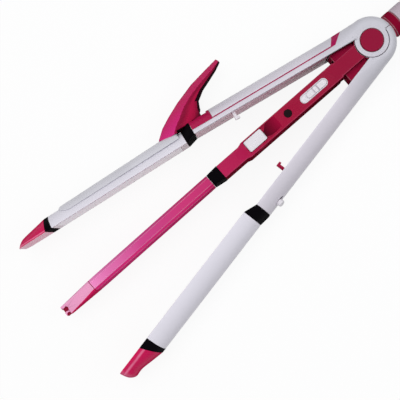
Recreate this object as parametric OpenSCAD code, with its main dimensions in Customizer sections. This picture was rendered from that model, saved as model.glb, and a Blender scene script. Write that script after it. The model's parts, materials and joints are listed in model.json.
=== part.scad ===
// Three-arm hair styler, lying open on its side.
// A middle arm with a two-sided heating bar carries two half-round outer arms
// on one hinge pin. +X runs along the middle arm to its tip, +Z is the hinge axis
// and Z = 0 is the surface that it lies on. All sizes are in millimetres.

/* [Hinge] */
// Opening of the clamp arm from the middle arm, in degrees
clamp_open = 10.8; // [10.6:0.1:12]
// Opening of the hook arm from the middle arm, in degrees
hook_open = 11.3; // [11.1:0.1:12.5]
// Radius of the hinge pin
pin_r = 3.0; // [2.4:0.1:3.6]
// Radius of the round hinge caps
cap_r = 7.0; // [6:0.1:8]
// How far a hinge cap stands over the head
cap_proud = 0.5; // [0.4:0.1:1]
// Radius of the hinge discs on the arms
disc_r = 10.2; // [9.6:0.1:10.6]
// Gap between a disc and the crescent around it
seam_gap = 0.35; // [0.3:0.05:0.6]
// Thickness of the outer hinge disc
disc_outer_t = 3.0; // [2.6:0.1:3.4]
// Thickness of the disc's web under a cap
web_t = 1.2; // [0.8:0.1:1.6]
// Thickness of the inner hinge disc
disc_inner_t = 1.6; // [1.2:0.1:2]
// Thickness of the washers between the discs
washer_t = 0.5; // [0.3:0.1:0.8]
// Radius of the hub inside the head
hub_r = 10.6; // [10:0.1:11]
// Wall of the hub around the springs
hub_wall = 2.2; // [1.6:0.1:3]
// Wall of the hub's boss around the pin
boss_wall = 1.9; // [1.4:0.1:2.0]
// Mean radius of the two arm springs
spring_r = 5.8; // [5.6:0.1:6.2]
// Thickness of the springs' wire
spring_wire = 1.0; // [0.6:0.1:1.2]

/* [Outer arm handles] */
// Outside radius of the half-round handles and of the head
handle_r = 15.8; // [15.4:0.1:16.4]
// Half height of the handles and of the head
head_half = 14.6; // [14.2:0.1:15]
// Distance of a handle's flat inner face from the hinge axis
inner_y = 5.4; // [5.3:0.05:5.8]
// Wall of the handle shells
shell_wall = 1.8; // [1.4:0.1:2.2]
// Where all three handles end, from the hinge axis
handle_end_x = 120; // [116:0.5:124]
// Where the flat covers start, from the hinge axis
cover_x = 27.5; // [27:0.1:30]
// Thickness of the flat covers
cover_t = 1.5; // [1.2:0.1:1.6]
// Where the head's rounding has run out into the handle
blend_x = 24; // [18:1:30]

/* [Middle handle] */
// Half width of the middle handle
mid_half_y = 5.4; // [5.2:0.05:5.5]
// Half width of its neck beside the hinge
neck_half_y = 4.9; // [4.6:0.05:5]
// Half width of its narrow front part
front_half_y = 4.5; // [4.3:0.05:4.9]
// Half height of the middle handle
mid_half_z = 14.3; // [14:0.1:14.5]
// Wall of the middle shells
mid_wall = 1.4; // [1.2:0.05:1.5]
// Radius of the middle handle's long edges
mid_edge_r = 0.8; // [0.4:0.1:1.2]
// Height of the joint between the two middle shells over the middle plane
joint_z = 2.0; // [1.4:0.1:3]
// Where the neck widens to the full handle
neck_end_x = 27; // [26:0.1:28]
// Where the full handle starts to narrow
wide_end_x = 100.0; // [99.6:0.1:102]
// Length of the narrowing
narrowing_l = 3; // [2:0.1:4]
// Half height of the cheeks that fill the open angle beside the hinge
cheek_half_z = 8.2; // [7.6:0.1:8.4]
// Reach of the cheeks from the hinge axis
cheek_x = 24.6; // [22:0.1:25.4]
// Half width of the cheeks at their front
cheek_half_y = 10.3; // [9:0.1:10.6]

/* [Tail] */
// Outside radius of the tail ring and sleeve
tail_r = 8.1; // [7.6:0.1:8.6]
// Radius of the neck that carries the tail
tail_neck_r = 7.4; // [6.8:0.1:7.5]
// Radius of the core under the tail ring and sleeve
tail_core_r = 6.4; // [6:0.1:6.6]
// Length of the tail ring
ring_l = 6.0; // [5:0.5:8]
// Length of the tail sleeve
sleeve_l = 8.8; // [8:0.2:14]
// Radius of the swivelling gland
gland_r = 7.8; // [7:0.1:8.1]
// Length of the gland behind the sleeve
gland_l = 9.0; // [7:0.5:14]
// Radius of the gland's spigot
spigot_r = 4.2; // [4:0.1:4.4]
// Length of the gland's spigot
spigot_l = 7.2; // [6:0.1:7.8]
// Radius of the bore for the supply cord
cord_r = 3.0; // [2.5:0.1:3.4]

/* [Controls] */
// Start of the power slider from the hinge axis
slider_x = 36.7; // [36:0.1:38]
// Length of the power slider
slider_l = 14.7; // [12:0.1:16]
// Width of the power slider
slider_w = 3.8; // [3.4:0.1:4.6]
// Travel of the power slider towards the tip
slider_travel = 4.0; // [3:0.1:5]
// Width of the rim of the bezel around the power slider
bezel_rim = 0.5; // [0.4:0.1:0.8]
// Thickness of the bezel's floor
bezel_floor = 0.4; // [0.3:0.1:0.5]
// How far the bezel stands over the handle
bezel_proud = 0.15; // [0.05:0.05:0.2]
// Height of the controls over the floors of their recesses
control_h = 1.7; // [1.4:0.1:2.2]
// Depth of the recesses around the controls
recess_depth = 1.3; // [1:0.1:1.6]
// Centre of the indicator lens
lens_x = 66.7; // [64:0.1:69]
// Radius of the indicator lens
lens_r = 2.5; // [2:0.1:2.8]
// Start of the mode button from the hinge axis
mode_x = 85.5; // [85:0.1:86]
// Length of the mode button
mode_l = 13.2; // [12:0.1:13.4]
// Width of the mode button
mode_w = 7.4; // [6.4:0.1:7.6]
// Sideways place of the mode button's centre
mode_y = -0.6; // [-0.8:0.1:0]
// Corner radius of the mode button
mode_corner_r = 0.9; // [0.6:0.1:1.4]
// Travel of the mode button towards the hinge
mode_travel = 4.0; // [3:0.1:4.2]
// Start of the finger scoop before the mode button
scoop_x = 74; // [72:0.5:76]

/* [Electrics] */
// Length of the circuit board
board_l = 39; // [37:0.5:40]
// Width of the circuit board
board_w = 7.2; // [6:0.1:7.4]
// Thickness of the circuit board
board_t = 1.2; // [1:0.1:1.6]
// Height of the switch body on the board
switch_h = 8.2; // [7:0.1:8.6]
// Radius of the leads
lead_r = 0.5; // [0.4:0.05:0.55]
// Length of each heater
heater_l = 72; // [60:1:80]
// Width of each heater
heater_w = 10; // [8:0.5:12]
// Thickness of the heaters in the outer arms
heater_t = 2.0; // [1.6:0.1:2.2]

/* [Heating bar] */
// Length of the collars between the handles and the bars
collar_l = 8.4; // [7:0.1:10]
// Length of the clamp arm's collar
clamp_collar_l = 6.8; // [6:0.1:8.4]
// Length of a collar's straight part before it tapers
collar_straight = 1.6; // [1:0.1:2.4]
// Length of the bar and of both barrels
bar_l = 95.4; // [88:0.2:100]
// Half thickness of the bar
bar_half_y = 3.9; // [3.7:0.05:4]
// Sideways place of the bar's centre at its start
bar_y = -0.35; // [-0.5:0.05:-0.2]
// Lean of the bar against the middle handle, in degrees
bar_lean = 0.5; // [0.4:0.05:0.6]
// Half height of the bar
bar_half_z = 14.2; // [13.4:0.1:14.4]
// Width of the bar's bevels seen from above
bevel_y = 1.6; // [1:0.1:1.8]
// Height of the bar's bevels
bevel_z = 2.2; // [1.6:0.1:2.4]
// Thickness of the bar's two heating plates
plate_t = 1.2; // [1:0.1:1.4]
// Half height of the bar's heating plates
plate_half_z = 11.0; // [9:0.1:11.4]
// How far every heating plate stands over its frame
plate_proud = 0.1; // [0.05:0.05:0.15]

/* [Outer barrels] */
// Outside radius of both barrels
barrel_r = 15.1; // [14.8:0.1:15.2]
// Wall of both barrels
barrel_wall = 1.6; // [1.2:0.1:1.8]
// Depth of the hook arm's barrel
hook_depth = 12.7; // [12:0.1:13]
// Distance of the hook arm's plate face from the hinge axis
hook_plate_y = 2.2; // [2.1:0.05:2.6]
// Depth of the clamp arm's barrel
clamp_depth = 8.8; // [8.4:0.1:9.2]
// Distance of the clamp arm's plate face from the hinge axis, at its start
clamp_plate_y = 3.2; // [3.1:0.05:3.6]
// Inward lean of the clamp arm's barrel, in degrees
clamp_lean = 1.8; // [1.5:0.1:1.8]
// Half height of the arms' heating plates
arm_plate_half_z = 11.6; // [10:0.1:12]
// Thickness of the arms' heating plates
arm_plate_t = 1.5; // [1.2:0.1:1.8]

/* [Tips] */
// Length of the black ring before each outer tip, on its round side
ring_outer_l = 2.8; // [2:0.1:3.6]
// Length of the same ring on the plate side of the hook arm
hook_ring_inner_l = 7.4; // [5:0.1:8]
// Length of the same ring on the plate side of the clamp arm
clamp_ring_inner_l = 4.6; // [4:0.1:6]
// Length of the middle tip
mid_tip_l = 25.6; // [20:0.2:28]
// Length of the clamp arm's ring and tip
clamp_tip_l = 24.4; // [20:0.2:28]
// Length of the hook arm's ring and tip
hook_tip_l = 28.0; // [22:0.2:30]
// Radius of the notches in the middle tip
notch_r = 1.5; // [1:0.1:1.8]

/* [Curling clamp] */
// Length of the bracket that carries the clamp
bracket_l = 14.4; // [13.4:0.1:16]
// Height of the bracket's lower edge from the hinge axis
bracket_y = 8.2; // [8:0.1:8.6]
// Distance of the clamp's pin from the handle's end
clamp_pin_back = 5.5; // [5:0.1:6]
// Distance of the clamp's pin from the arm's axis line
clamp_pin_y = 11.0; // [10.9:0.1:11.4]
// Radius of the clamp's pin
clamp_pin_r = 1.2; // [1:0.1:1.4]
// Half length of the clamp's pin
clamp_pin_half = 9.2; // [8.9:0.1:9.4]
// Radius of the lever's knuckle around the pin
knuckle_r = 3.6; // [3.2:0.1:3.7]
// Half width of the knuckle
knuckle_half_z = 6.6; // [6:0.1:6.7]
// Opening of the clamp, in degrees
clamp_travel = 22; // [15:1:24]
// Reach of the lever's tip behind its pin
lever_reach = 30; // [29:0.2:31]
// Half width of the lever at its foot
lever_half_z = 9.0; // [8:0.1:9.6]
// Thickness of the tongue
tongue_t = 0.9; // [0.8:0.05:1]
// Gap between the tongue's end and the barrel
tongue_gap = 0.35; // [0.3:0.05:0.5]
// Lean of the tongue against the barrel, in degrees
tongue_lean = 0.9; // [0.7:0.1:1.1]
// Half angle that the tongue wraps round the barrel
tongue_wrap = 43; // [38:1:46]
// Length of the tongue
tongue_l = 86.6; // [80:0.2:88]

/* [Latches] */
// Place of the two latch hooks along their arms
latch_x = 92.2; // [91.8:0.1:92.6]
// Gap between the edges of the latch hooks' feet and the shells' inner wall
latch_edge_gap = 0.52; // [0.3:0.02:0.8]
// Width of the latch hooks
latch_w = 3.0; // [2.4:0.1:3.2]
// Thickness of the latch hooks' stems
latch_stem = 2.0; // [1.6:0.1:2.2]
// Length of the latch hooks' toes
latch_toe = 1.2; // [0.8:0.1:1.4]
// Reach of the latch hooks from the handles' flat faces
latch_reach = 5.0; // [4:0.1:5.2]
// Travel of the hook arm's latch towards the hinge
latch_travel = 2.4; // [2:0.1:3]
// Place of the latch knob along the hook arm
knob_x = 110.3; // [108:0.1:112]
// Radius of the latch knob
knob_r = 2.2; // [2:0.1:2.6]
// Radius of the latch knob's stem
knob_stem_r = 1.3; // [1.2:0.1:1.6]
// How far the knob stands over the handle
knob_h = 2.8; // [1.6:0.1:3]
// Angle of the latch knob round the handle, in degrees
knob_angle = 20; // [18:1:24]

/* [Accent stripe] */
// Width of the thin stripe along the clamp arm
stripe_w = 0.8; // [0.6:0.1:1.2]
// Distance of the stripe from the arm's axis line beside the hinge
stripe_y0 = 9.2; // [9:0.1:9.6]
// Distance of the stripe from the arm's axis line at the bracket
stripe_y1 = 8.6; // [8.5:0.1:8.9]
// Depth of the accent's inlay
inlay_t = 0.5; // [0.4:0.1:0.8]
// Where the accent's wide mark stands on the stripe
mark_x = 20; // [19:0.5:24]
// Width of the accent's mark at its foot
mark_foot = 2.7; // [2:0.1:4]
// Width of the accent's mark at the back of the arm
mark_top = 6.8; // [5:0.1:8]

/* [Fasteners] */
// Radius of the screws' threads
screw_r = 1.1; // [0.9:0.1:1.3]
// Radius of the screws' heads
screw_head_r = 1.9; // [1.7:0.1:2.1]
// Height of the screws' heads
screw_head_h = 0.9; // [0.7:0.1:1]
// Length of the screws in the outer arms
arm_screw_l = 7; // [5:0.5:7]
// Length of the screws in the middle arm
mid_screw_l = 21; // [18:0.5:22]

/* [Hidden] */

// Colours of the finishes
white = "#dcd8e0";
magenta = "#c4205e";
pink = "#d9508f";
dark_red = "#7a1a3c";
grey_mauve = "#beb0ba";
pale = "#ddd0da";
black = "#141216";
steel = "#b8b8bc";

// Round shapes are drawn with this many steps
$fn = 64;
// Clearance beside a piece that slides or turns
slide_gap = 0.3;
// Clearance between pieces that stay together
fit_gap = 0.1;
// Running clearance of a pin in its bore
pin_gap = 0.05;
// How far a boss or rib sinks into the wall that it grows from
bond = 0.2;
// Space for a cut that runs past a face
past = 1;
// A length that reaches past the whole part
far = 60;

// Heights in the hinge, counted from the middle plane
mid_z = head_half + cap_proud;
disc_outer_z = head_half - disc_outer_t;
disc_gap = washer_t + fit_gap;
disc_inner_top = disc_outer_z - disc_gap;
disc_inner_z = disc_inner_top - disc_inner_t;
hub_half_z = disc_inner_z - disc_gap;
cap_floor_z = disc_outer_z + web_t;
pin_half_z = cap_floor_z + slide_gap;
crescent_r = disc_r + seam_gap;
cavity_r = handle_r - shell_wall;
cavity_half_z = head_half - shell_wall;
hub_room_r = hub_r + 1;
boss_r = pin_r + pin_gap + boss_wall;
spring_room_r = hub_r - hub_wall;
spring_room_z = 6.4;
passage_y = spring_r + spring_wire;
arm_cavity_x = 9;
// The two arms meet behind the hinge and stop each other there
stop_angle = 0.6;

// The middle handle
mid_arc_r = hub_r + slide_gap;
narrow_x = wide_end_x + narrowing_l;
cavity_z = mid_half_z - mid_wall;
recess_z = mid_half_z - recess_depth;
floor_t = 1.2;
floor_z = recess_z - floor_t;
board_x = 34.8;
board_z = joint_z - 1;
board_top = board_z + board_t;
rib_t = 2;
post_r = screw_r + 1.1;
mid_screw_xs = [30.5, 78];
mid_head_z = -mid_half_z + screw_head_h + 1.2;
slider_stem_l = 4;
slider_stem_x = slider_x + (slider_l - slider_stem_l) / 2;
slider_stem_w = 2.0;
bezel_x = slider_x - slide_gap - bezel_rim;
bezel_l = slider_l + slider_travel + 2 * slide_gap + 2 * bezel_rim;
bezel_w = slider_w + 2 * slide_gap + 2 * bezel_rim;
bezel_z = recess_z + pin_gap;
mode_stem_l = 4;
mode_stem_x = mode_x + mode_l - mode_stem_l - 2;
mode_stem_w = 3;
wire_gap_y = 2.6;
wire_gap_z = 5;
lead_y = 3.1;
lead_z = board_top + lead_r + pin_gap;
front_lead_y = 1.6;
back_lead_y = post_r + lead_r + 0.15;

// The tail
tail_x = -(handle_r + slide_gap);
ring_end_x = tail_x - ring_l;
sleeve_end_x = ring_end_x - sleeve_l;
gland_x = sleeve_end_x - slide_gap;
flange_r = spigot_r + 0.7;
flange_t = 1.4;
tail_room = tail_neck_r + 0.5;
tail_chamfer = 0.5;

// The bar, the barrels and the tips
bar_x = handle_end_x + collar_l;
clamp_barrel_x = handle_end_x + clamp_collar_l;
bar_end_x = bar_x + bar_l;
heater_x = bar_x + (bar_l - heater_l) / 2;
plate_margin = 3;
plate_x = bar_x + plate_margin;
plate_l = bar_l - 2 * plate_margin;
bar_plate_in = bar_half_y + plate_proud - plate_t;
tongue_r = barrel_r + tongue_gap;
tongue_back_r = tongue_r + tongue_t;
tongue_end_x = bar_x + past + tongue_l;
function chord(depth) = sqrt(barrel_r * barrel_r - (barrel_r - depth) * (barrel_r - depth));

// The outer arms' inside
arm_screw_xs = [36, 66, 100];
post_foot_y = inner_y + cover_t;
arm_lead_y = post_foot_y + lead_r + fit_gap;
arm_lead_zs = [-8.4, -7.3];
arm_lead_shift = 2.4;
way_y0 = post_foot_y - 0.6;
way_y1 = post_foot_y + 1.3;
arm_way_z = 9.2;
collar_foot_l = 3;
collar_foot_t = 1.3;

// The clamp
bracket_x = handle_end_x - bracket_l;
clamp_pin_x = handle_end_x - clamp_pin_back;
slot_half_z = knuckle_half_z + slide_gap;
slot_x = bracket_x + shell_wall;
ear_t = 2;
ear_r = 2.9;
coil_half_z = 3.2;
coil_room_r = 3.5;
rivet_xs = [4.1, 9.1];
rivet_r = 1.0;
// The lever from its foot to its tip: back x, back y, front x, front y, all
// counted from the pin, and the share of the foot's half width
lever_rows = [
    [-4.5, 1.4, 29.0, -0.6, 1],
    [-5.0, 5.4, 26.9, 3.6, 1],
    [-5.3, 8.4, 21.5, 8.6, 0.98],
    [-6.9, 12.6, 14.9, 12.7, 0.92],
    [-12.6, 17.1, 5.9, 17.6, 0.83],
    [-19.5, 20.5, -7.5, 23.4, 0.70],
    [-25.7, 23.7, -18.5, 26.6, 0.56],
    [-30.0, 26.6, -28.7, 29.4, 0.40]];

// The latches
latch_tip_y = inner_y - latch_reach;
latch_toe_h = 1.5;
latch_base_t = 1.3;
latch_base_y = post_foot_y + slide_gap;
latch_top_y = latch_base_y + latch_base_t;
latch_base_z0 = 4.2;
latch_base_z1 = sqrt(cavity_r * cavity_r - latch_top_y * latch_top_y) - latch_edge_gap;
latch_high_z = latch_base_z1 - fit_gap;
latch_low_z = latch_high_z - latch_w;
knob_foot_r = 9.4;
knob_pad_z = 1.6;

module lifted() { translate([0, 0, mid_z]) children(); }
module on_hook_arm() { lifted() rotate([0, 0, hook_open]) children(); }
module on_clamp_arm() { lifted() rotate([0, 0, -clamp_open]) mirror([0, 1, 0]) children(); }
// The bar's own axis line becomes Y = 0
module to_bar() {
    translate([bar_x, bar_y, 0]) rotate([0, 0, bar_lean]) translate([-bar_x, 0, 0]) children();
}
module on_bar() { lifted() to_bar() children(); }
// The plate face of an outer arm becomes Y = 0
module to_hook_plate() { translate([0, hook_plate_y, 0]) children(); }
module to_clamp_plate() {
    translate([bar_x, clamp_plate_y, 0]) rotate([0, 0, -clamp_lean])
        translate([-bar_x, 0, 0]) children();
}
// The tongue's crown line becomes Y = 0, and X = 0 is its root
module to_tongue() {
    to_clamp_plate() translate([tongue_end_x, clamp_depth + tongue_gap + tongue_t, 0])
        rotate([0, 0, -tongue_lean]) translate([-tongue_l, 0, 0]) children();
}

// A box given by its two corners
module box(low, high) { translate(low) cube(high - low); }
// An outline in X and Y, drawn through a height
module slab(z0, z1) { translate([0, 0, z0]) linear_extrude(z1 - z0) children(); }
// An outline in Y and Z, drawn along X
module along_x(x0, x1) {
    translate([x0, 0, 0]) rotate([90, 0, 90]) linear_extrude(x1 - x0) children();
}
module slice(x) { along_x(x, x + 0.02) children(); }
// An outline in X and Z, drawn along Y
module across(y0, y1) { translate([0, y1, 0]) rotate([90, 0, 0]) linear_extrude(y1 - y0) children(); }
// A round bar or bore along +Y
module along_y(r, x, y0, y1, z = 0) {
    translate([x, y0, z]) rotate([-90, 0, 0]) cylinder(r = r, h = y1 - y0);
}
// A turned piece behind the head, whose outline holds radius and distance
module turned_tail(x) { translate([x, 0, 0]) rotate([0, -90, 0]) rotate_extrude() children(); }

function arc(cx, cy, r, a0, a1, n) =
    [for (i = [0:n]) let (a = a0 + (a1 - a0) * i / n) [cx + r * cos(a), cy + r * sin(a)]];
function round_rect(half_a, half_b, r) = concat(
    arc(half_a - r, half_b - r, r, 0, 90, 5), arc(r - half_a, half_b - r, r, 90, 180, 5),
    arc(r - half_a, r - half_b, r, 180, 270, 5), arc(half_a - r, r - half_b, r, 270, 360, 5));
// The stretched round outline of the power slider, its bezel and their trough
module long_round(x, l, w) {
    translate([x + l / 2, 0]) polygon(round_rect(l / 2, w / 2, w / 2 - pin_gap));
}
// A round back over a flat face, by its depth and its half chord
function round_back(depth, half_chord) =
    let (r = (depth * depth + half_chord * half_chord) / (2 * depth), a = acos(1 - depth / r))
    arc(depth - r, 0, r, -a, a, 24);
// The bar's eight-sided section, with its own bevel on either side
function bar_section(half_z, bev_a, bev_b, bev_z) = [
    [bar_half_y, half_z - bev_z], [bar_half_y - bev_b, half_z], [bev_a - bar_half_y, half_z],
    [-bar_half_y, half_z - bev_z], [-bar_half_y, bev_z - half_z], [bev_a - bar_half_y, -half_z],
    [bar_half_y - bev_b, -half_z], [bar_half_y, bev_z - half_z]];

// A wire swept along points, with flat ends
function unit(v) = v / norm(v);
function cross_of(d) = unit(cross(d, abs(d[2]) < 0.9 ? [0, 0, 1] : [1, 0, 0]));
module wire(points, r, sides = 6) {
    n = len(points);
    rings = [for (i = [0:n - 1])
        let (d = unit(points[min(i + 1, n - 1)] - points[max(i - 1, 0)]), a = cross_of(d), b = cross(d, a))
        for (k = [0:sides - 1])
            points[i] + r * (a * cos(360 * k / sides) + b * sin(360 * k / sides))];
    walls = [for (i = [0:n - 2]) for (k = [0:sides - 1])
        [i * sides + k, i * sides + (k + 1) % sides,
         (i + 1) * sides + (k + 1) % sides, (i + 1) * sides + k]];
    first = [for (k = [sides - 1:-1:0]) k];
    last = [for (k = [0:sides - 1]) (n - 1) * sides + k];
    polyhedron(rings, concat([first], walls, [last]));
}
// Turns of a coil that starts at angle a0 and turns back by a given angle
function coil(r, a0, turn, z0, z1, n) = [for (i = [0:n])
    let (a = a0 - turn * i / n) [r * cos(a), r * sin(a), z0 + (z1 - z0) * i / n]];

// The head's edge seen along its radius: flat, then rounded off
head_round_r = 4.9;
head_round_z = 8;
function head_edge(r, h) = [for (a = [90:-9:0])
    [r - head_round_r + head_round_r * cos(a), h - head_round_z + head_round_z * sin(a)]];
function mirrored(points) = [for (i = [len(points) - 1:-1:0]) [points[i][0], -points[i][1]]];
module head_body() {
    edge = head_edge(handle_r, head_half);
    rotate_extrude() polygon(concat([[0, head_half]], edge, mirrored(edge), [[0, -head_half]]));
}
// The round part of the handle over y = low, cut flat at half_z
module handle_outline(r, low, half_z) {
    intersection() {
        circle(r);
        translate([low, -half_z]) square([2 * r, 2 * half_z]);
    }
}
// The sector of the head that belongs to one arm
module arm_sector(open_angle) {
    rear = 180 - open_angle - stop_angle;
    polygon([[0, 0], [far * cos(rear), far * sin(rear)], [-far, far], [far, far], [far, inner_y],
        [0, inner_y]]);
}
// The outside of an outer arm: a round head that flows into the handle
module arm_body(open_angle) {
    inset = 0.25;
    edge = head_edge(handle_r - inset, head_half - fit_gap);
    blend_low = inner_y + inset;
    intersection() {
        head_body();
        slab(-far, far) arm_sector(open_angle);
    }
    along_x(0, handle_end_x) handle_outline(handle_r, inner_y, head_half);
    hull() {
        slice(2) polygon(concat([[blend_low, head_half - fit_gap]], edge, mirrored(edge),
            [[blend_low, fit_gap - head_half]]));
        slice(blend_x) handle_outline(handle_r - fit_gap, blend_low, head_half - fit_gap);
    }
}
// An outer arm's shell, whose own hinge disc is the outermost one below
module arm_shell(open_angle) {
    difference() {
        union() {
            difference() {
                arm_body(open_angle);
                along_x(arm_cavity_x, handle_end_x + past)
                    handle_outline(cavity_r, inner_y - past, cavity_half_z);
                slab(-disc_inner_z, disc_inner_z) circle(hub_room_r);
                slab(disc_inner_top, head_half + past) circle(crescent_r);
                slab(-disc_outer_z, past - disc_inner_z) circle(crescent_r);
            }
            slab(disc_inner_z, disc_inner_top) {
                circle(disc_r);
                intersection() {
                    circle(crescent_r + bond);
                    arm_sector(open_angle);
                }
            }
            slab(-head_half, -disc_outer_z) circle(disc_r);
            for (x = arm_screw_xs) along_y(post_r, x, post_foot_y, cavity_r + bond);
        }
        slab(-head_half - past, head_half + past) circle(pin_r + pin_gap);
        slab(-head_half - past, -cap_floor_z) circle(cap_r + slide_gap);
        // The tail's neck passes between the two arms
        rotate([0, 0, -open_angle])
            box([-far, -tail_room, -tail_room], [0, tail_room, tail_room]);
        for (x = arm_screw_xs)
            along_y(screw_r + pin_gap, x, 0, inner_y + fit_gap + arm_screw_l + slide_gap);
        children();
    }
}

module hinge_cap() {
    edge_r = 0.9;
    translate([0, 0, pin_half_z]) rotate_extrude() polygon(concat([[0, 0], [cap_r, 0]],
        arc(cap_r - edge_r, mid_z - pin_half_z - edge_r, edge_r, 0, 90, 6),
        [[0, mid_z - pin_half_z]]));
}
module hinge_pin() { color(steel) lifted() slab(-pin_half_z, pin_half_z) circle(pin_r); }
module hinge_cap_top() { color(magenta) lifted() hinge_cap(); }
module hinge_cap_bottom() { color(magenta) lifted() mirror([0, 0, 1]) hinge_cap(); }
module hinge_washers() {
    color(steel) lifted() for (z = [hub_half_z, disc_inner_top], side = [0, 1])
        mirror([0, 0, side]) slab(z + pin_gap, z + pin_gap + washer_t) difference() {
            circle(cap_r);
            circle(pin_r + pin_gap);
        }
}
module arm_springs() {
    wire_r = spring_wire / 2;
    turns = 3.5;
    leg_x = 16;
    height = turns * (spring_wire + slide_gap);
    for (z = [-height - slide_gap - wire_r, slide_gap + wire_r])
        color(steel) lifted() wire(concat([[leg_x, -spring_r, z]],
            coil(spring_r, -90, turns * 360, z, z + height, turns * 16),
            [[leg_x, spring_r, z + height]]), wire_r);
}
module cheek_outline() {
    x0 = arm_cavity_x + slide_gap;
    half0 = 8;
    polygon([[x0, -half0], [cheek_x, -cheek_half_y], [cheek_x, cheek_half_y], [x0, half0]]);
}
module hub_block() {
    color(dark_red) lifted() difference() {
        union() {
            slab(-hub_half_z, hub_half_z) circle(hub_r);
            slab(-cheek_half_z, cheek_half_z) cheek_outline();
            rotate([0, -90, 0]) cylinder(r = tail_neck_r, h = -tail_x);
            rotate([0, -90, 0]) cylinder(r = tail_core_r, h = -sleeve_end_x);
        }
        slab(-spring_room_z, hub_half_z + past) difference() {
            circle(spring_room_r);
            circle(boss_r);
        }
        slab(-spring_room_z, spring_room_z) difference() {
            translate([0, -passage_y]) square([cheek_x + past, 2 * passage_y]);
            circle(boss_r);
        }
        slab(-far, far) circle(pin_r + pin_gap);
        turned_tail(-boss_r - past) square([cord_r + slide_gap, far]);
        turned_tail(gland_x) translate([0, -spigot_l - 2 * slide_gap]) {
            square([spigot_r + pin_gap, far]);
            square([flange_r + slide_gap, flange_t + 2 * slide_gap]);
        }
    }
}
module tail_pieces_outline(l) {
    polygon([[tail_core_r + pin_gap, 0], [tail_r - tail_chamfer, 0], [tail_r, tail_chamfer],
        [tail_r, l - tail_chamfer], [tail_r - tail_chamfer, l], [tail_core_r + pin_gap, l]]);
}

module tail_ring() {
    color(dark_red) lifted() turned_tail(tail_x) tail_pieces_outline(ring_l - fit_gap);
}
module tail_sleeve() {
    color(grey_mauve) lifted() turned_tail(ring_end_x) tail_pieces_outline(sleeve_l);
}
module swivel_gland() {
    edge_r = 2.4;
    foot = slide_gap + spigot_l;
    color(dark_red) lifted() turned_tail(gland_x) polygon(concat(
        [[cord_r, -foot], [flange_r, -foot], [flange_r, flange_t - foot],
            [spigot_r, flange_t - foot], [spigot_r, 0], [gland_r - tail_chamfer, 0],
            [gland_r, tail_chamfer]],
        arc(gland_r - edge_r, gland_l - edge_r, edge_r, 0, 90, 8), [[cord_r, gland_l]]));
}

// The middle handle's outside, and the room inside it
module mid_outline(half_y) { polygon(round_rect(half_y, mid_half_z, mid_edge_r)); }
module mid_body() {
    along_x(0, neck_end_x + bond) mid_outline(neck_half_y);
    along_x(neck_end_x, wide_end_x) mid_outline(mid_half_y);
    hull() {
        slice(wide_end_x - bond) mid_outline(mid_half_y);
        slice(narrow_x - bond) mid_outline(front_half_y);
    }
    along_x(narrow_x - bond, handle_end_x) mid_outline(front_half_y);
}
module mid_room() {
    neck_in = neck_half_y - mid_wall;
    wide_in = mid_half_y - mid_wall;
    front_in = front_half_y - mid_wall;
    x0 = mid_arc_r + 2 * mid_wall;
    x1 = neck_end_x + mid_wall;
    x2 = wide_end_x - mid_wall;
    box([x0, -neck_in, -cavity_z], [x1 + bond, neck_in, cavity_z]);
    box([x1, -wide_in, -cavity_z], [x2, wide_in, cavity_z]);
    box([x2 - bond, -front_in, -cavity_z], [handle_end_x + past, front_in, cavity_z]);
    // The hub's cheeks lie between the shells
    box([0, -far, -cheek_half_z - fit_gap], [cheek_x + fit_gap, far, cheek_half_z + fit_gap]);
}
module middle_shell_top() {
    trough_x = bezel_x - fit_gap;
    trough_l = bezel_l + 2 * fit_gap;
    mode_start = mode_x - mode_travel - slide_gap;
    mode_end = mode_x + mode_l + slide_gap;
    half_mode = mode_w / 2 + slide_gap;
    lens_hole = lens_r + fit_gap;
    wide_in = mid_half_y - mid_wall;
    color(magenta) lifted() difference() {
        union() {
            difference() {
                mid_body();
                mid_room();
            }
            for (x = mid_screw_xs) translate([x, 0, joint_z])
                cylinder(r = post_r, h = cavity_z + bond - joint_z);
            box([trough_x - floor_t, -wide_in - bond, floor_z],
                [trough_x + trough_l + floor_t, wide_in + bond, cavity_z + bond]);
            box([scoop_x, -wide_in - bond, floor_z],
                [wide_end_x - mid_wall, wide_in + bond, cavity_z + bond]);
        }
        slab(-far, far) circle(mid_arc_r);
        box([0, -far, -far], [far * 3, far, joint_z]);
        slab(recess_z, far) long_round(trough_x, trough_l, bezel_w + 2 * fit_gap);
        slab(recess_z, far) translate([(mode_start + mode_end) / 2, mode_y])
            polygon(round_rect((mode_end - mode_start) / 2, half_mode, mode_corner_r + slide_gap));
        across(mode_y - half_mode, mode_y + half_mode) polygon([[scoop_x, mid_half_z + past],
            [scoop_x, mid_half_z], [mode_start, recess_z], [mode_x, recess_z], [mode_x, mid_half_z + past]]);
        // The slots that the stems of the controls slide in
        box([slider_stem_x - slide_gap, -slider_stem_w / 2 - slide_gap, 0],
            [slider_stem_x + slider_stem_l + slider_travel + slide_gap,
            slider_stem_w / 2 + slide_gap, far]);
        box([mode_stem_x - mode_travel - slide_gap, mode_y - mode_stem_w / 2 - slide_gap, floor_z - past],
            [mode_stem_x + mode_stem_l + slide_gap, mode_y + mode_stem_w / 2 + slide_gap, far]);
        translate([lens_x, 0, joint_z]) cylinder(r = lens_hole, h = far);
        for (x = mid_screw_xs) translate([x, 0, 0])
            cylinder(r = screw_r + pin_gap, h = mid_head_z + mid_screw_l + slide_gap);
        latch_windows();
    }
}
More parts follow.
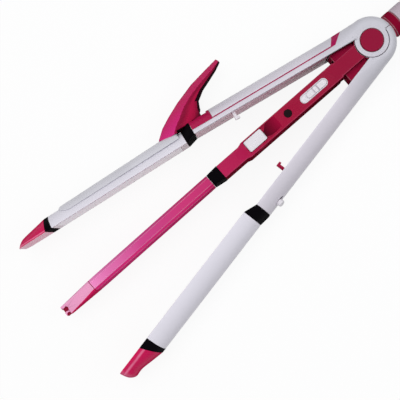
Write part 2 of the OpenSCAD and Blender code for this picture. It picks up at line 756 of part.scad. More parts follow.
// Windows in both sides of the middle handle, where the latch hooks reach in
module latch_windows() {
    x0 = latch_x - latch_toe - latch_travel - 2 * slide_gap;
    x1 = latch_x + latch_stem + 2 * slide_gap;
    box([x0, -far, latch_low_z - slide_gap], [x1, far, latch_high_z + slide_gap]);
}
module middle_shell_bottom() {
    wide_in = mid_half_y - mid_wall;
    base_r = screw_head_r + 1.2;
    base_z = mid_head_z + 1.4;
    color(dark_red) lifted() difference() {
        union() {
            difference() {
                mid_body();
                mid_room();
            }
            for (x = mid_screw_xs) {
                translate([x, 0, -cavity_z - bond])
                    cylinder(r = post_r, h = joint_z + cavity_z + bond);
                translate([x, 0, -cavity_z - bond])
                    cylinder(r = base_r, h = base_z + cavity_z + bond);
            }
            for (x = [board_x + rib_t, board_x + board_l - 2 * rib_t])
                box([x, -wide_in - bond, -cavity_z - bond], [x + rib_t, wide_in + bond, board_z]);
        }
        slab(-far, far) circle(mid_arc_r);
        box([0, -far, joint_z], [far * 3, far, far]);
        for (x = mid_screw_xs) translate([x, 0, -mid_half_z - past]) {
            cylinder(r = screw_r + pin_gap, h = far);
            cylinder(r = screw_head_r + slide_gap, h = mid_head_z + mid_half_z + past);
        }
    }
}
module circuit_board() {
    color("#2e6b3f") lifted()
        box([board_x, -board_w / 2, board_z], [board_x + board_l, board_w / 2, board_top]);
}
module switch_body() {
    margin = 0.8;
    color(black) lifted()
        box([slider_x + margin, -slider_w / 2 - margin, board_top],
            [slider_x + slider_l - margin, slider_w / 2 + margin, board_top + switch_h]);
}
module indicator_led() {
    led_r = 1.5;
    leg_r = 0.25;
    led_z = floor_z - led_r - slide_gap - 2.4;
    color("#e8e4e0") lifted() {
        translate([lens_x, 0, led_z]) cylinder(r = led_r, h = 2.4);
        translate([lens_x, 0, led_z + 2.4]) rotate_extrude()
            polygon(concat([[0, -bond]], [[led_r, -bond]], arc(0, 0, led_r, 0, 90, 6)));
        for (side = [-1, 1]) translate([lens_x, side * led_r / 2, board_top])
            cylinder(r = leg_r, h = led_z + bond - board_top, $fn = 16);
    }
}
module indicator_lens() {
    lens_flange = 0.7;
    lens_flange_t = 0.9;
    z0 = cavity_z - lens_flange_t;
    color("#f0c8d8") lifted() translate([lens_x, 0, 0]) {
        slab(z0, cavity_z) circle(lens_r + lens_flange);
        slab(z0, mid_half_z + fit_gap) circle(lens_r);
    }
}
module middle_leads() {
    pad = 1.5;
    bend_x = narrow_x - 9;
    bend_l = 5;
    color(dark_red) lifted() for (side = [-1, 1]) {
        wire([[board_x + board_l - pad, side * lead_y, lead_z], [bend_x, side * lead_y, lead_z],
            [bend_x + bend_l, side * front_lead_y, lead_z], [bar_x, side * front_lead_y, lead_z],
            [heater_x - pin_gap, side * front_lead_y + bar_y, lead_z]], lead_r);
        wire([[board_x + pad, side * back_lead_y, lead_z], [cheek_x, side * back_lead_y, lead_z],
            [arm_cavity_x, side * back_lead_y, lead_z]], lead_r);
    }
}
module thermal_fuse() {
    fuse_l = 9;
    fuse_r = front_lead_y - lead_r - fit_gap;
    color(steel) lifted() translate([narrow_x + 2, 0, lead_z]) rotate([0, 90, 0])
        cylinder(r = fuse_r, h = fuse_l);
}
module middle_screws() {
    color(steel) lifted() for (x = mid_screw_xs) translate([x, 0, mid_head_z]) {
        cylinder(r = screw_r, h = mid_screw_l);
        translate([0, 0, -screw_head_h]) cylinder(r = screw_head_r, h = screw_head_h);
    }
}
module slider_bezel() {
    inner_x = bezel_x + bezel_rim;
    inner_l = bezel_l - 2 * bezel_rim;
    inner_w = bezel_w - 2 * bezel_rim;
    half_slot = slider_stem_w / 2 + slide_gap;
    color(white) lifted() difference() {
        slab(bezel_z, mid_half_z + bezel_proud) long_round(bezel_x, bezel_l, bezel_w);
        slab(bezel_z + bezel_floor, far) long_round(inner_x, inner_l, inner_w);
        box([slider_stem_x - slide_gap, -half_slot, 0],
            [slider_stem_x + slider_stem_l + slider_travel + slide_gap, half_slot, far]);
    }
}
module power_slider() {
    groove_w = 0.8;
    groove_deep = 0.5;
    groove_x = [6.1, 9.1];
    foot_w = 4.4;
    foot_t = 0.7;
    z0 = bezel_z + bezel_floor + fit_gap;
    z1 = recess_z + control_h + fit_gap;
    stem_z = floor_z - slide_gap - foot_t;
    color(white) lifted() difference() {
        union() {
            slab(z0, z1) long_round(slider_x, slider_l, slider_w);
            box([slider_stem_x, -slider_stem_w / 2, stem_z],
                [slider_stem_x + slider_stem_l, slider_stem_w / 2, z0 + bond]);
            box([slider_stem_x, -foot_w / 2, stem_z],
                [slider_stem_x + slider_stem_l, foot_w / 2, stem_z + foot_t]);
        }
        for (x = groove_x)
            box([slider_x + x, -far, z1 - groove_deep], [slider_x + x + groove_w, far, z1 + past]);
    }
}
module mode_button() {
    foot_w = 5.4;
    foot_t = 0.7;
    z0 = recess_z + fit_gap;
    z1 = recess_z + control_h + fit_gap;
    stem_z = floor_z - slide_gap - foot_t;
    color(white) lifted() {
        slab(z0, z1) translate([mode_x + mode_l / 2, mode_y])
            polygon(round_rect(mode_l / 2, mode_w / 2, mode_corner_r));
        box([mode_stem_x, mode_y - mode_stem_w / 2, stem_z],
            [mode_stem_x + mode_stem_l, mode_y + mode_stem_w / 2, z0 + bond]);
        box([mode_stem_x, mode_y - foot_w / 2, stem_z],
            [mode_stem_x + mode_stem_l, mode_y + foot_w / 2, stem_z + foot_t]);
    }
}

// The heating bar
module bar_outline() { polygon(bar_section(bar_half_z, bevel_y, bevel_y, bevel_z)); }
module middle_collar() {
    half_y = front_half_y + 0.2;
    half_z = mid_half_z + 0.1;
    color(black) lifted() difference() {
        union() {
            hull() {
                slice(handle_end_x + fit_gap) polygon(round_rect(half_y, half_z, mid_edge_r));
                to_bar() slice(bar_x - 2 * fit_gap) bar_outline();
            }
            along_x(handle_end_x - collar_foot_l, handle_end_x + past) polygon(round_rect(
                front_half_y - mid_wall - fit_gap, cavity_z - fit_gap, mid_edge_r));
        }
        box([0, -wire_gap_y, -wire_gap_z], [bar_x + past, wire_gap_y, wire_gap_z]);
    }
}
module bar_frame() {
    pocket = bar_half_y + plate_proud - plate_t;
    color(pink) on_bar() difference() {
        along_x(bar_x, bar_end_x) bar_outline();
        for (side = [0, 1]) mirror([0, side, 0])
            box([plate_x - fit_gap, pocket, -plate_half_z - fit_gap],
                [plate_x + plate_l + fit_gap, far, plate_half_z + fit_gap]);
        box([heater_x - fit_gap, -far, -heater_w / 2 - fit_gap],
            [heater_x + heater_l + fit_gap, far, heater_w / 2 + fit_gap]);
        box([bar_x - past, -wire_gap_y, -wire_gap_z], [heater_x, wire_gap_y, wire_gap_z]);
    }
}
module bar_plate() {
    box([plate_x, bar_plate_in, -plate_half_z], [plate_x + plate_l, bar_plate_in + plate_t, plate_half_z]);
}
module bar_plate_hook_side() { color(pink) on_bar() bar_plate(); }
module bar_plate_clamp_side() { color(pink) on_bar() mirror([0, 1, 0]) bar_plate(); }
module bar_heater() {
    color("#e9e4d8") on_bar() box([heater_x, -bar_plate_in, -heater_w / 2],
        [heater_x + heater_l, bar_plate_in, heater_w / 2]);
}
module middle_tip() {
    // Distance along the tip, half height, and share of the bar's bevels
    rows = [[0, bar_half_z, 1], [10.7, 8.7, 0.6], [22.7, 3.0, 0.3], [mid_tip_l, 1.9, 0.2]];
    mouth = notch_r * 0.8;
    spigot_h = 3;
    spigot_y = 2;
    spigot_z = 10;
    color(pink) on_bar() translate([bar_end_x, 0, 0]) difference() {
        for (i = [0:2]) hull() {
            slice(rows[i][0] + (i == 0 ? slide_gap : 0)) polygon(bar_section(rows[i][1],
                bevel_y * rows[i][2], bevel_y * rows[i][2], bevel_z * rows[i][2]));
            slice(rows[i + 1][0] - 0.02) polygon(bar_section(rows[i + 1][1],
                bevel_y * rows[i + 1][2], bevel_y * rows[i + 1][2], bevel_z * rows[i + 1][2]));
        }
        translate([mid_tip_l - 2.6, -0.6, 0]) slab(-far, far) {
            circle(notch_r);
            translate([0, -mouth]) square([far, 2 * mouth]);
        }
        translate([mid_tip_l - 1.8, bar_half_y - 0.8, 0]) slab(-far, far) {
            circle(notch_r);
            square([far, far]);
        }
    }
}

// What both outer arms share, in each arm's own frame. The plate face is Y = 0
// in the pieces from the barrel on
module arm_cover() {
    head_room = screw_head_h + fit_gap;
    difference() {
        along_x(cover_x, handle_end_x - 0.3) intersection() {
            handle_outline(cavity_r - fit_gap, inner_y, cavity_half_z - fit_gap);
            translate([inner_y, -far]) square([cover_t, 2 * far]);
        }
        for (x = arm_screw_xs) {
            along_y(screw_r + pin_gap, x, 0, far);
            along_y(screw_head_r + fit_gap, x, 0, inner_y + head_room);
        }
        children();
    }
}
module arm_screws() {
    y0 = inner_y + fit_gap;
    for (x = arm_screw_xs) {
        along_y(screw_head_r, x, y0, y0 + screw_head_h);
        along_y(screw_r, x, y0, y0 + arm_screw_l);
    }
}
module plate_back(depth) {
    intersection() {
        translate([depth - barrel_r, 0]) circle(barrel_r);
        translate([0, -far]) square([far, 2 * far]);
    }
}
module arm_barrel(x0, depth) {
    inner_y0 = arm_plate_t + fit_gap;
    difference() {
        along_x(x0, bar_end_x) plate_back(depth);
        along_x(x0 - past, bar_end_x + past) intersection() {
            translate([depth - barrel_r, 0]) circle(barrel_r - barrel_wall);
            translate([inner_y0, -far]) square([far, 2 * far]);
        }
        box([plate_x - fit_gap, -past, -arm_plate_half_z - fit_gap],
            [plate_x + plate_l + fit_gap, inner_y0 + bond, arm_plate_half_z + fit_gap]);
    }
}
module arm_plate() {
    box([plate_x, -plate_proud, -arm_plate_half_z],
        [plate_x + plate_l, arm_plate_t - plate_proud, arm_plate_half_z]);
}
module arm_heater() {
    y0 = arm_plate_t - plate_proud;
    box([heater_x, y0, -heater_w / 2], [heater_x + heater_l, y0 + heater_t, heater_w / 2]);
}
// A bowed strip between the heater's back and the barrel's crown
module heater_bow(depth) {
    strip = 0.5;
    half_w = 3;
    bow_l = heater_l / 2;
    inner_r = barrel_r - barrel_wall;
    sag = inner_r - sqrt(inner_r * inner_r - half_w * half_w);
    y0 = arm_plate_t - plate_proud + heater_t + pin_gap;
    rise = depth - barrel_wall - y0 - strip - sag - fit_gap;
    steps = 16;
    low = [for (i = [0:steps]) [bow_l * i / steps, y0 + rise * sin(180 * i / steps)]];
    high = [for (i = [steps:-1:0]) low[i] + [0, strip]];
    translate([heater_x + bow_l / 2, 0, 0]) slab(-half_w, half_w) polygon(concat(low, high));
}
module arm_leads(plate_y) {
    y0 = arm_lead_y;
    bend_x = handle_end_x - 1.6;
    collar_mid_x = handle_end_x + collar_l / 2;
    end_y = plate_y + arm_plate_t + heater_t / 2;
    for (z = arm_lead_zs)
        wire([[cover_x + slide_gap, y0, z], [bend_x, y0, z],
            [collar_mid_x, y0, z + arm_lead_shift / 2],
            [bar_x + 3, end_y + 0.8, z + arm_lead_shift],
            [heater_x - pin_gap, end_y, z + arm_lead_shift + 0.6]], lead_r);
}
module arm_collar_foot() {
    along_x(handle_end_x - collar_foot_l, handle_end_x + fit_gap + bond) intersection() {
        handle_outline(cavity_r - fit_gap, post_foot_y + fit_gap, cavity_half_z - fit_gap);
        translate([post_foot_y, -far]) square([collar_foot_t, 2 * far]);
    }
}
module arm_collar_way() {
    x0 = handle_end_x - collar_foot_l - past;
    x1 = bar_x + past;
    way_drop = 0.9;
    slab(-arm_way_z, arm_way_z) polygon([[x0, way_y0], [handle_end_x + collar_l / 2, way_y0],
        [x1, way_y0 - way_drop], [x1, way_y1], [x0, way_y1]]);
}
// A collar's straight part beside the handle
module arm_collar_start() {
    along_x(handle_end_x + fit_gap, handle_end_x + collar_straight)
        handle_outline(handle_r, inner_y, head_half);
}
// A tip's section: a round back over a flat face
module tip_slice(row) { slice(row[0]) polygon(round_back(row[1], row[2])); }
module tip_chain(rows) {
    for (i = [0:len(rows) - 2]) hull() {
        tip_slice(rows[i]);
        tip_slice(rows[i + 1]);
    }
}
// The slanted joint between a ring and its tip, seen along Z
module ring_side(depth, inner_l, shift = 0) {
    run = past * (inner_l - ring_outer_l) / depth;
    slab(-far, far) polygon([[-past, -past], [inner_l + shift + run, -past],
        [ring_outer_l + shift - run, depth + past], [-past, depth + past]]);
}
module tip_ring(depth, inner_l) {
    translate([bar_end_x, 0, 0]) intersection() {
        along_x(0, inner_l + past) plate_back(depth);
        difference() {
            ring_side(depth, inner_l);
            slab(-far, far) translate([-2 * past, -2 * past]) square([2 * past + fit_gap, far]);
        }
    }
}
module outer_tip(depth, inner_l, rows) {
    translate([bar_end_x, 0, 0]) difference() {
        tip_chain(rows);
        ring_side(depth, inner_l, fit_gap);
    }
}

// The clamp arm
module on_clamp_plate() { on_clamp_arm() to_clamp_plate() children(); }
module accent_outline() {
    half = stripe_w / 2;
    x1 = bracket_x - fit_gap;
    top_x = mark_x - 9.4;
    top_y = handle_r + past;
    polygon([[mark_x + bond, stripe_y0 - half], [x1, stripe_y1 - half], [x1, stripe_y1 + half],
        [mark_x + mark_foot, stripe_y0 + half], [top_x + mark_top, top_y], [top_x, top_y],
        [mark_x, stripe_y0 - half]]);
}
module accent_prism() {
    difference() {
        slab(bond, far) accent_outline();
        arm_skin(inlay_t);
    }
}
// The handle's skin, moved inwards
module arm_skin(inset) {
    edge = head_edge(handle_r - inset, head_half - inset);
    low = inner_y + inset;
    along_x(blend_x - bond, handle_end_x) handle_outline(handle_r - inset, low, head_half - inset);
    hull() {
        slice(2) polygon(concat([[low, head_half - inset]], edge, mirrored(edge),
            [[low, inset - head_half]]));
        slice(blend_x) handle_outline(handle_r - inset, low, head_half - inset);
    }
}
module clamp_arm_shell() {
    color(white) on_clamp_arm() mirror([0, 0, 1]) difference() {
        arm_shell(clamp_open) {
            box([bracket_x, bracket_y, -far], [far * 3, far, far]);
        }
        mirror([0, 0, 1]) accent_prism();
    }
}
module clamp_arm_accent() {
    color("#7c4060") on_clamp_arm() intersection() {
        accent_prism();
        arm_body(clamp_open);
    }
}
module clamp_arm_cover() {
    color("#a07a94") on_clamp_arm() arm_cover()
        box([latch_x - fit_gap, 0, latch_low_z - fit_gap],
            [latch_x + latch_stem + fit_gap, far, latch_high_z + fit_gap]);
}
module clamp_arm_peg() {
    margin = 1.6;
    flange_h = 1.2;
    color(white) on_clamp_arm() {
        box([latch_x, latch_tip_y, latch_low_z], [latch_x + latch_stem, post_foot_y + bond, latch_high_z]);
        box([latch_x - latch_toe, latch_tip_y, latch_low_z],
            [latch_x + bond, latch_tip_y + latch_toe_h, latch_high_z]);
        box([latch_x - margin, post_foot_y + pin_gap, latch_low_z - margin],
            [latch_x + latch_stem + margin, post_foot_y + pin_gap + flange_h, latch_high_z]);
    }
}
module clamp_arm_screws() { color(steel) on_clamp_arm() arm_screws(); }
module clamp_arm_bracket() {
    y0 = bracket_y + fit_gap;
    x0 = bracket_x + fit_gap;
    lap_l = 2;
    color(magenta) on_clamp_arm() difference() {
        union() {
            difference() {
                along_x(x0, handle_end_x) handle_outline(handle_r, y0, head_half);
                along_x(0, handle_end_x + past) handle_outline(cavity_r, 0, cavity_half_z);
                box([slot_x, y0, -slot_half_z], [far * 3, far, slot_half_z]);
            }
            along_x(x0 - lap_l, x0 + past) difference() {
                handle_outline(cavity_r - fit_gap, y0 + past, cavity_half_z - fit_gap);
                circle(cavity_r - fit_gap - shell_wall);
            }
            intersection() {
                along_x(0, handle_end_x) handle_outline(cavity_r + bond, 0, head_half);
                for (side = [0, 1]) mirror([0, 0, side]) slab(slot_half_z, slot_half_z + ear_t) {
                    translate([clamp_pin_x, clamp_pin_y]) circle(ear_r);
                    translate([clamp_pin_x - ear_r, clamp_pin_y]) square([2 * ear_r, far]);
                }
            }
            along_x(x0 - lap_l, x0 + shell_wall) difference() {
                intersection() {
                    circle(cavity_r - fit_gap - pin_gap);
                    translate([y0 + past, -slot_half_z]) square([far, 2 * slot_half_z]);
                }
                circle(cavity_r - fit_gap - shell_wall);
            }
        }
        translate([clamp_pin_x, clamp_pin_y, 0]) slab(-clamp_pin_half - fit_gap, clamp_pin_half + fit_gap)
            circle(clamp_pin_r + pin_gap);
    }
}
module clamp_pin() {
    color(steel) on_clamp_arm() translate([clamp_pin_x, clamp_pin_y, 0])
        slab(-clamp_pin_half, clamp_pin_half) circle(clamp_pin_r);
}
module clamp_arm_collar() {
    color(black) on_clamp_arm() difference() {
        union() {
            hull() {
                arm_collar_start();
                to_clamp_plate() slice(clamp_barrel_x - fit_gap) plate_back(clamp_depth);
            }
            arm_collar_foot();
        }
        arm_collar_way();
    }
}
module clamp_arm_barrel() {
    color(white) on_clamp_plate() arm_barrel(clamp_barrel_x, clamp_depth);
}
module clamp_arm_plate() { color(pale) on_clamp_plate() arm_plate(); }
module clamp_arm_heater() { color("#e9e4d8") on_clamp_plate() arm_heater(); }
module clamp_arm_heater_spring() { color(steel) on_clamp_plate() heater_bow(clamp_depth); }
module clamp_arm_leads() { color(dark_red) on_clamp_arm() arm_leads(clamp_plate_y - 0.3); }
module clamp_arm_tip_ring() { color(black) on_clamp_plate() tip_ring(clamp_depth, clamp_ring_inner_l); }
module clamp_arm_tip() {
    // Distance along the tip, thickness and half width
    l = clamp_tip_l;
    rows = [[ring_outer_l - past, clamp_depth, chord(clamp_depth)], [l - 13.0, 7.0, 13.4],
        [l - 6.5, 5.7, 13.0], [l - 3.4, 4.8, 12.6], [l - 1.2, 3.4, 11.4], [l, 1.2, 9.4]];
    color(pink) on_clamp_plate() union() {
        outer_tip(clamp_depth, clamp_ring_inner_l, rows);
    }
}

// The curling clamp, which turns on the clamp arm
module on_clamp_pin() { on_clamp_arm() translate([clamp_pin_x, clamp_pin_y, 0]) children(); }
function oval(a, w, n) = [for (i = [0:n - 1]) let (t = 360 * i / n, c = cos(t), s = sin(t))
    [a * sign(c) * pow(abs(c), 0.8), w * sign(s) * pow(abs(s), 0.8)]];
module lever_slice(table_row) {
    row = table_row * lever_reach / abs(lever_rows[len(lever_rows) - 1][0]);
    dx = row[2] - row[0];
    dy = row[3] - row[1];
    translate([(row[0] + row[2]) / 2, (row[1] + row[3]) / 2, 0]) rotate([0, 0, atan2(dy, dx)])
        rotate([90, 0, 0]) linear_extrude(0.02) polygon(oval(norm([dx, dy]) / 2, lever_half_z * table_row[4], 24));
}
module handle_round(r) {
    h = far + bar_x - clamp_pin_x + 0.4;
    translate([-far, -clamp_pin_y, 0]) rotate([0, 90, 0]) cylinder(r = r, h = h);
}
module clamp_lever() {
    web_x = knuckle_r;
    arm_gap = handle_r + tongue_gap;
    color(magenta) on_clamp_pin() difference() {
        union() {
            difference() {
                for (i = [0:len(lever_rows) - 2]) hull() {
                    lever_slice(lever_rows[i]);
                    lever_slice(lever_rows[i + 1]);
                }
                handle_round(arm_gap);
                rotate([0, 0, -clamp_travel]) handle_round(arm_gap);
                translate([-clamp_pin_x, -clamp_pin_y, 0]) to_tongue()
                    translate([-2 * past, -tongue_back_r, 0]) rotate([0, 90, 0])
                    cylinder(r = tongue_back_r + pin_gap, h = far);
            }
            slab(-knuckle_half_z, knuckle_half_z) {
                circle(knuckle_r);
                translate([-web_x, 0]) square([2 * web_x, arm_gap - clamp_pin_y + 2]);
            }
        }
        slab(-coil_half_z, coil_half_z) circle(knuckle_r + 0.1);
        slab(-coil_half_z, coil_half_z) translate([-far, -far]) square([2 * far, far]);
        slab(-far, far) circle(clamp_pin_r + pin_gap);
        translate([-clamp_pin_x, -clamp_pin_y, 0]) to_tongue() for (x = rivet_xs)
            along_y(rivet_r + pin_gap, x, -tongue_t - past, 2 * rivet_r + fit_gap);
    }
}
module clamp_tongue() {
    inner = tongue_r;
    end_r = 8;
    half = tongue_back_r * sin(tongue_wrap);
    color("#cfcbd6") on_clamp_arm() to_tongue() difference() {
        intersection() {
            along_x(0, tongue_l) translate([-tongue_back_r, 0]) difference() {
                circle(tongue_back_r);
                circle(inner);
            }
            translate([0, far, 0]) rotate([90, 0, 0]) linear_extrude(far + tongue_back_r) union() {
                translate([0, -half]) square([tongue_l - end_r, 2 * half]);
                translate([0, end_r - half]) square([tongue_l, 2 * half - 2 * end_r]);
                for (side = [-1, 1]) translate([tongue_l - end_r, side * (half - end_r)]) circle(end_r);
            }
        }
        for (x = rivet_xs) along_y(rivet_r + pin_gap, x, -far, far);
    }
}
module clamp_rivets() {
    head_t = 0.5;
    color(steel) on_clamp_arm() to_tongue() for (x = rivet_xs) {
        along_y(rivet_r, x, -tongue_t - head_t, 2 * rivet_r);
        along_y(1.7 * rivet_r, x, -tongue_t - head_t, -tongue_t - 3 * pin_gap);
    }
}
module clamp_spring() {
    coil_r = 2.0;
    wire_r = 0.35;
    turns = 5;
    half = 2.2;
    foot_x = 4.2;
    foot_y = post_foot_y + wire_r + slide_gap - clamp_pin_y;
    color(steel) on_clamp_pin() wire(concat([[foot_x, foot_y, -half]],
        coil(coil_r, -60, turns * 360 + 120, -half, half, turns * 16),
        [[-coil_r, coil_r, half]]), wire_r);
}

// The hook arm
module on_hook_plate() { on_hook_arm() to_hook_plate() children(); }
module at_knob() { rotate([knob_angle, 0, 0]) children(); }
module hook_arm_shell() {
    stem = knob_stem_r + slide_gap;
    color(white) on_hook_arm() arm_shell(hook_open) at_knob() {
        for (x = [knob_x - latch_travel, knob_x]) along_y(stem, x, cavity_r - 2, far);
        box([knob_x - latch_travel, cavity_r - 2, -stem], [knob_x, far, stem]);
    }
}
module hook_arm_cover() {
    color("#a07a94") on_hook_arm() arm_cover()
        box([latch_x - latch_travel - slide_gap, 0, latch_low_z - slide_gap],
            [latch_x + latch_stem + slide_gap, far, latch_high_z + slide_gap]);
}
module hook_arm_screws() { color(steel) on_hook_arm() arm_screws(); }
module hook_arm_collar() {
    color(black) on_hook_arm() difference() {
        union() {
            hull() {
                arm_collar_start();
                to_hook_plate() slice(bar_x - fit_gap) plate_back(hook_depth);
            }
            arm_collar_foot();
        }
        arm_collar_way();
    }
}
module hook_arm_barrel() { color(white) on_hook_plate() arm_barrel(bar_x, hook_depth); }
module hook_arm_plate() { color(pale) on_hook_plate() arm_plate(); }
module hook_arm_heater() { color("#e9e4d8") on_hook_plate() arm_heater(); }
module hook_arm_heater_spring() { color(steel) on_hook_plate() heater_bow(hook_depth); }
module hook_arm_leads() { color(dark_red) on_hook_arm() arm_leads(hook_plate_y); }
module hook_arm_tip_ring() { color(black) on_hook_plate() tip_ring(hook_depth, hook_ring_inner_l); }
module hook_arm_tip() {
    l = hook_tip_l;
    rows = [[ring_outer_l - past, hook_depth, chord(hook_depth)], [l - 16.2, 10.4, 14.2],
        [l - 11.2, 9.1, 13.9], [l - 7.6, 8.8, 13.6], [l - 4.5, 9.0, 13.2], [l - 2.6, 8.2, 12.6],
        [l - 0.9, 6.6, 11.2], [l, 4.4, 9.6]];
    color(pink) on_hook_plate() outer_tip(hook_depth, hook_ring_inner_l, rows);
}
module latch_hook() {
    boss = knob_stem_r + 1;
    base_x0 = latch_x - 2.7;
    base_x1 = knob_x + boss;
    color(magenta) on_hook_arm() difference() {
        union() {
            box([latch_x, latch_tip_y, latch_low_z],
                [latch_x + latch_stem, latch_base_y + bond, latch_high_z]);
            box([latch_x - latch_toe, latch_tip_y, latch_low_z],
                [latch_x + bond, latch_tip_y + latch_toe_h, latch_high_z]);
            box([base_x0, latch_base_y, latch_base_z0],
                [base_x1, latch_base_y + latch_base_t, latch_base_z1]);
            at_knob() along_y(boss, knob_x, knob_foot_r, cavity_r - 2 * slide_gap);
            box([knob_x - boss, latch_base_y, knob_pad_z],
                [knob_x + boss, latch_base_y + 2 * latch_base_t, latch_base_z0 + bond]);
        }
        at_knob() along_y(knob_stem_r + pin_gap, knob_x, knob_foot_r + 1, far);
    }
}
module latch_knob() {
    edge_r = 0.7;
    seat = handle_r + slide_gap;
    top = handle_r + knob_h;
    color(white) on_hook_arm() at_knob() {
        along_y(knob_stem_r, knob_x, knob_foot_r + 1 + fit_gap, seat + bond);
        translate([knob_x, 0, 0]) rotate([-90, 0, 0]) rotate_extrude()
            polygon(concat([[0, seat], [knob_r, seat]],
            arc(knob_r - edge_r, top - edge_r, edge_r, 0, 90, 6), [[0, top]]));
    }
}

middle_shell_top();
middle_shell_bottom();
hub_block();
hinge_pin();
hinge_cap_top();
hinge_cap_bottom();
hinge_washers();
arm_springs();
tail_ring();
tail_sleeve();
circuit_board();
switch_body();
indicator_led();
indicator_lens();
middle_leads();
thermal_fuse();
middle_screws();
middle_collar();
bar_frame();
bar_plate_clamp_side();
bar_plate_hook_side();
bar_heater();
middle_tip();
slider_bezel();
power_slider();
mode_button();
swivel_gland();
clamp_arm_shell();
clamp_arm_cover();
clamp_arm_accent();
clamp_arm_bracket();
clamp_arm_collar();
clamp_arm_barrel();
clamp_arm_plate();
clamp_arm_heater();
clamp_arm_heater_spring();
clamp_arm_leads();
clamp_arm_tip_ring();
clamp_arm_tip();
clamp_arm_peg();
clamp_arm_screws();
clamp_pin();
clamp_spring();
clamp_lever();
clamp_tongue();
clamp_rivets();
hook_arm_shell();
hook_arm_cover();
hook_arm_collar();
hook_arm_barrel();
hook_arm_plate();
hook_arm_heater();
hook_arm_heater_spring();
hook_arm_leads();
hook_arm_tip_ring();
hook_arm_tip();
hook_arm_screws();
latch_hook();
latch_knob();
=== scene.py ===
# %% [markdown]
# A three-arm hair straightener with a curling clamp, dressed over its packed CAD frame. The frame
# gives every place and size. Each cell adds one piece or one finish and says why it is made in that
# way, and most cells print what they made.
# %% Load the frame
import json
import math
import bpy
import bmesh
from mathutils import Matrix, Vector
from mathutils.bvhtree import BVHTree

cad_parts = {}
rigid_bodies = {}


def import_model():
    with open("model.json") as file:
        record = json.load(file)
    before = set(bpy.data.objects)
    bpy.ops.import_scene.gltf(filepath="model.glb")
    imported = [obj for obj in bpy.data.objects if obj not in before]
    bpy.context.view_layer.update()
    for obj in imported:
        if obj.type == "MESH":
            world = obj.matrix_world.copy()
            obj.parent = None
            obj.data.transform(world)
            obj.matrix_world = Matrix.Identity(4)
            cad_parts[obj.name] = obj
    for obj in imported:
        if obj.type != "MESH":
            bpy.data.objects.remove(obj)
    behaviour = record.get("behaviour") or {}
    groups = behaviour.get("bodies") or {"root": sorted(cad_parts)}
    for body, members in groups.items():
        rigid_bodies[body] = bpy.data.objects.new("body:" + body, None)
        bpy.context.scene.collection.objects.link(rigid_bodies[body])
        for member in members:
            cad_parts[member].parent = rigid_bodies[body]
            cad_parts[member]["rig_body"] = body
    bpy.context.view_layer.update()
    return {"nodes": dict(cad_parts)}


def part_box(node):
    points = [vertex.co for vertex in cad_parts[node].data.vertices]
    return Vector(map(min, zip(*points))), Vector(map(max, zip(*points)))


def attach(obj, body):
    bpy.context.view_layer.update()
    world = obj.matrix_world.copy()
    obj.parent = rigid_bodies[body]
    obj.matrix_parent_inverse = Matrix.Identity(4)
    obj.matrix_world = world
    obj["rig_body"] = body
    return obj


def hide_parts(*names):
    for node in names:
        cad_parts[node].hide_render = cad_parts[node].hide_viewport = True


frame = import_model()
MM = 0.001
NODES = frame["nodes"]
CAP_LOW, CAP_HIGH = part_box("hinge_cap_bottom")[0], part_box("hinge_cap_top")[1]
MID_Z = (CAP_LOW.z + CAP_HIGH.z) / 2 / MM

# %% [markdown]
# The camera stands where the photograph was taken from. Its place and turn were fitted to
# the three arms, in the row frame, with +X along the middle arm and +Z towards the viewer.
# %% Camera
PHOTO_PX = 400
FOCAL_PX = 986.53
SENSOR_MM = 36.0
CAMERA_MM = Vector((129.92, 45.63, 621.12))
IMAGE_TURN_DEG = 41.4
TILT_DEG = (-2.302, 3.407, 0.246)


def camera_matrix():
    """The camera's world matrix: its right, up and backward axes, and its place."""
    phi = math.radians(IMAGE_TURN_DEG)
    cos, sin = math.cos(phi), math.sin(phi)
    ax, ay, az = (math.radians(a) for a in TILT_DEG)
    tilt = Matrix.Rotation(az, 3, "Z") @ Matrix.Rotation(ay, 3, "Y") @ Matrix.Rotation(ax, 3, "X")
    right, down, forward = tilt @ Matrix(((-cos, sin, 0), (sin, cos, 0), (0, 0, -1)))
    m = Matrix((right, -down, -forward)).transposed().to_4x4()
    m.translation = CAMERA_MM * MM
    return m


def linked(name, data):
    """A new object of this mesh, curve, lamp or camera in the scene."""
    obj = bpy.data.objects.new(name, data)
    bpy.context.scene.collection.objects.link(obj)
    return obj


camera = linked("camera", bpy.data.cameras.new("camera"))
camera.data.sensor_width = SENSOR_MM
camera.data.lens = SENSOR_MM * FOCAL_PX / PHOTO_PX
camera.data.clip_start, camera.data.clip_end = 0.01, 20
camera.matrix_world = camera_matrix()
bpy.context.scene.camera = camera
bpy.context.scene.view_settings.view_transform = "Standard"
print("camera lens", round(camera.data.lens, 2))

# %% [markdown]
# Shaders and Geometry Nodes are both trees of nodes, so the same helpers serve them all. One
# adds a node and feeds its inputs. A value stands for a number in a tree: arithmetic on it
# adds Math nodes, so that a rule reads like its formula.
# %% Node helpers


def feed(tree, node, inputs):
    """Sets each named input to a number, or links it to a value, a socket or a node. A list
    links several of them."""
    for name, given in inputs.items():
        for source in given if isinstance(given, list) else [given]:
            if isinstance(source, Value):
                source = source.socket
            elif isinstance(source, bpy.types.Node):
                source = source.outputs[0]
            if isinstance(source, bpy.types.NodeSocket):
                tree.links.new(source, node.inputs[name])
            else:
                node.inputs[name].default_value = source


def add(tree, kind, inputs, **settings):
    """A new node with its settings and inputs. A kind without a family is of the tree's own."""
    node = tree.nodes.new(kind if "Node" in kind else tree.bl_idname[:-len("Tree")] + kind)
    for name, value in settings.items():
        setattr(node, name, value)
    feed(tree, node, inputs)
    return node


class Value:
    """What a socket gives. Arithmetic on it adds Math nodes to the tree."""

    def __init__(self, tree, socket):
        self.tree, self.socket = tree, socket

    def math(self, operation, *values):
        node = add(self.tree, "ShaderNodeMath", dict(enumerate(values)), operation=operation)
        return Value(self.tree, node.outputs[0])


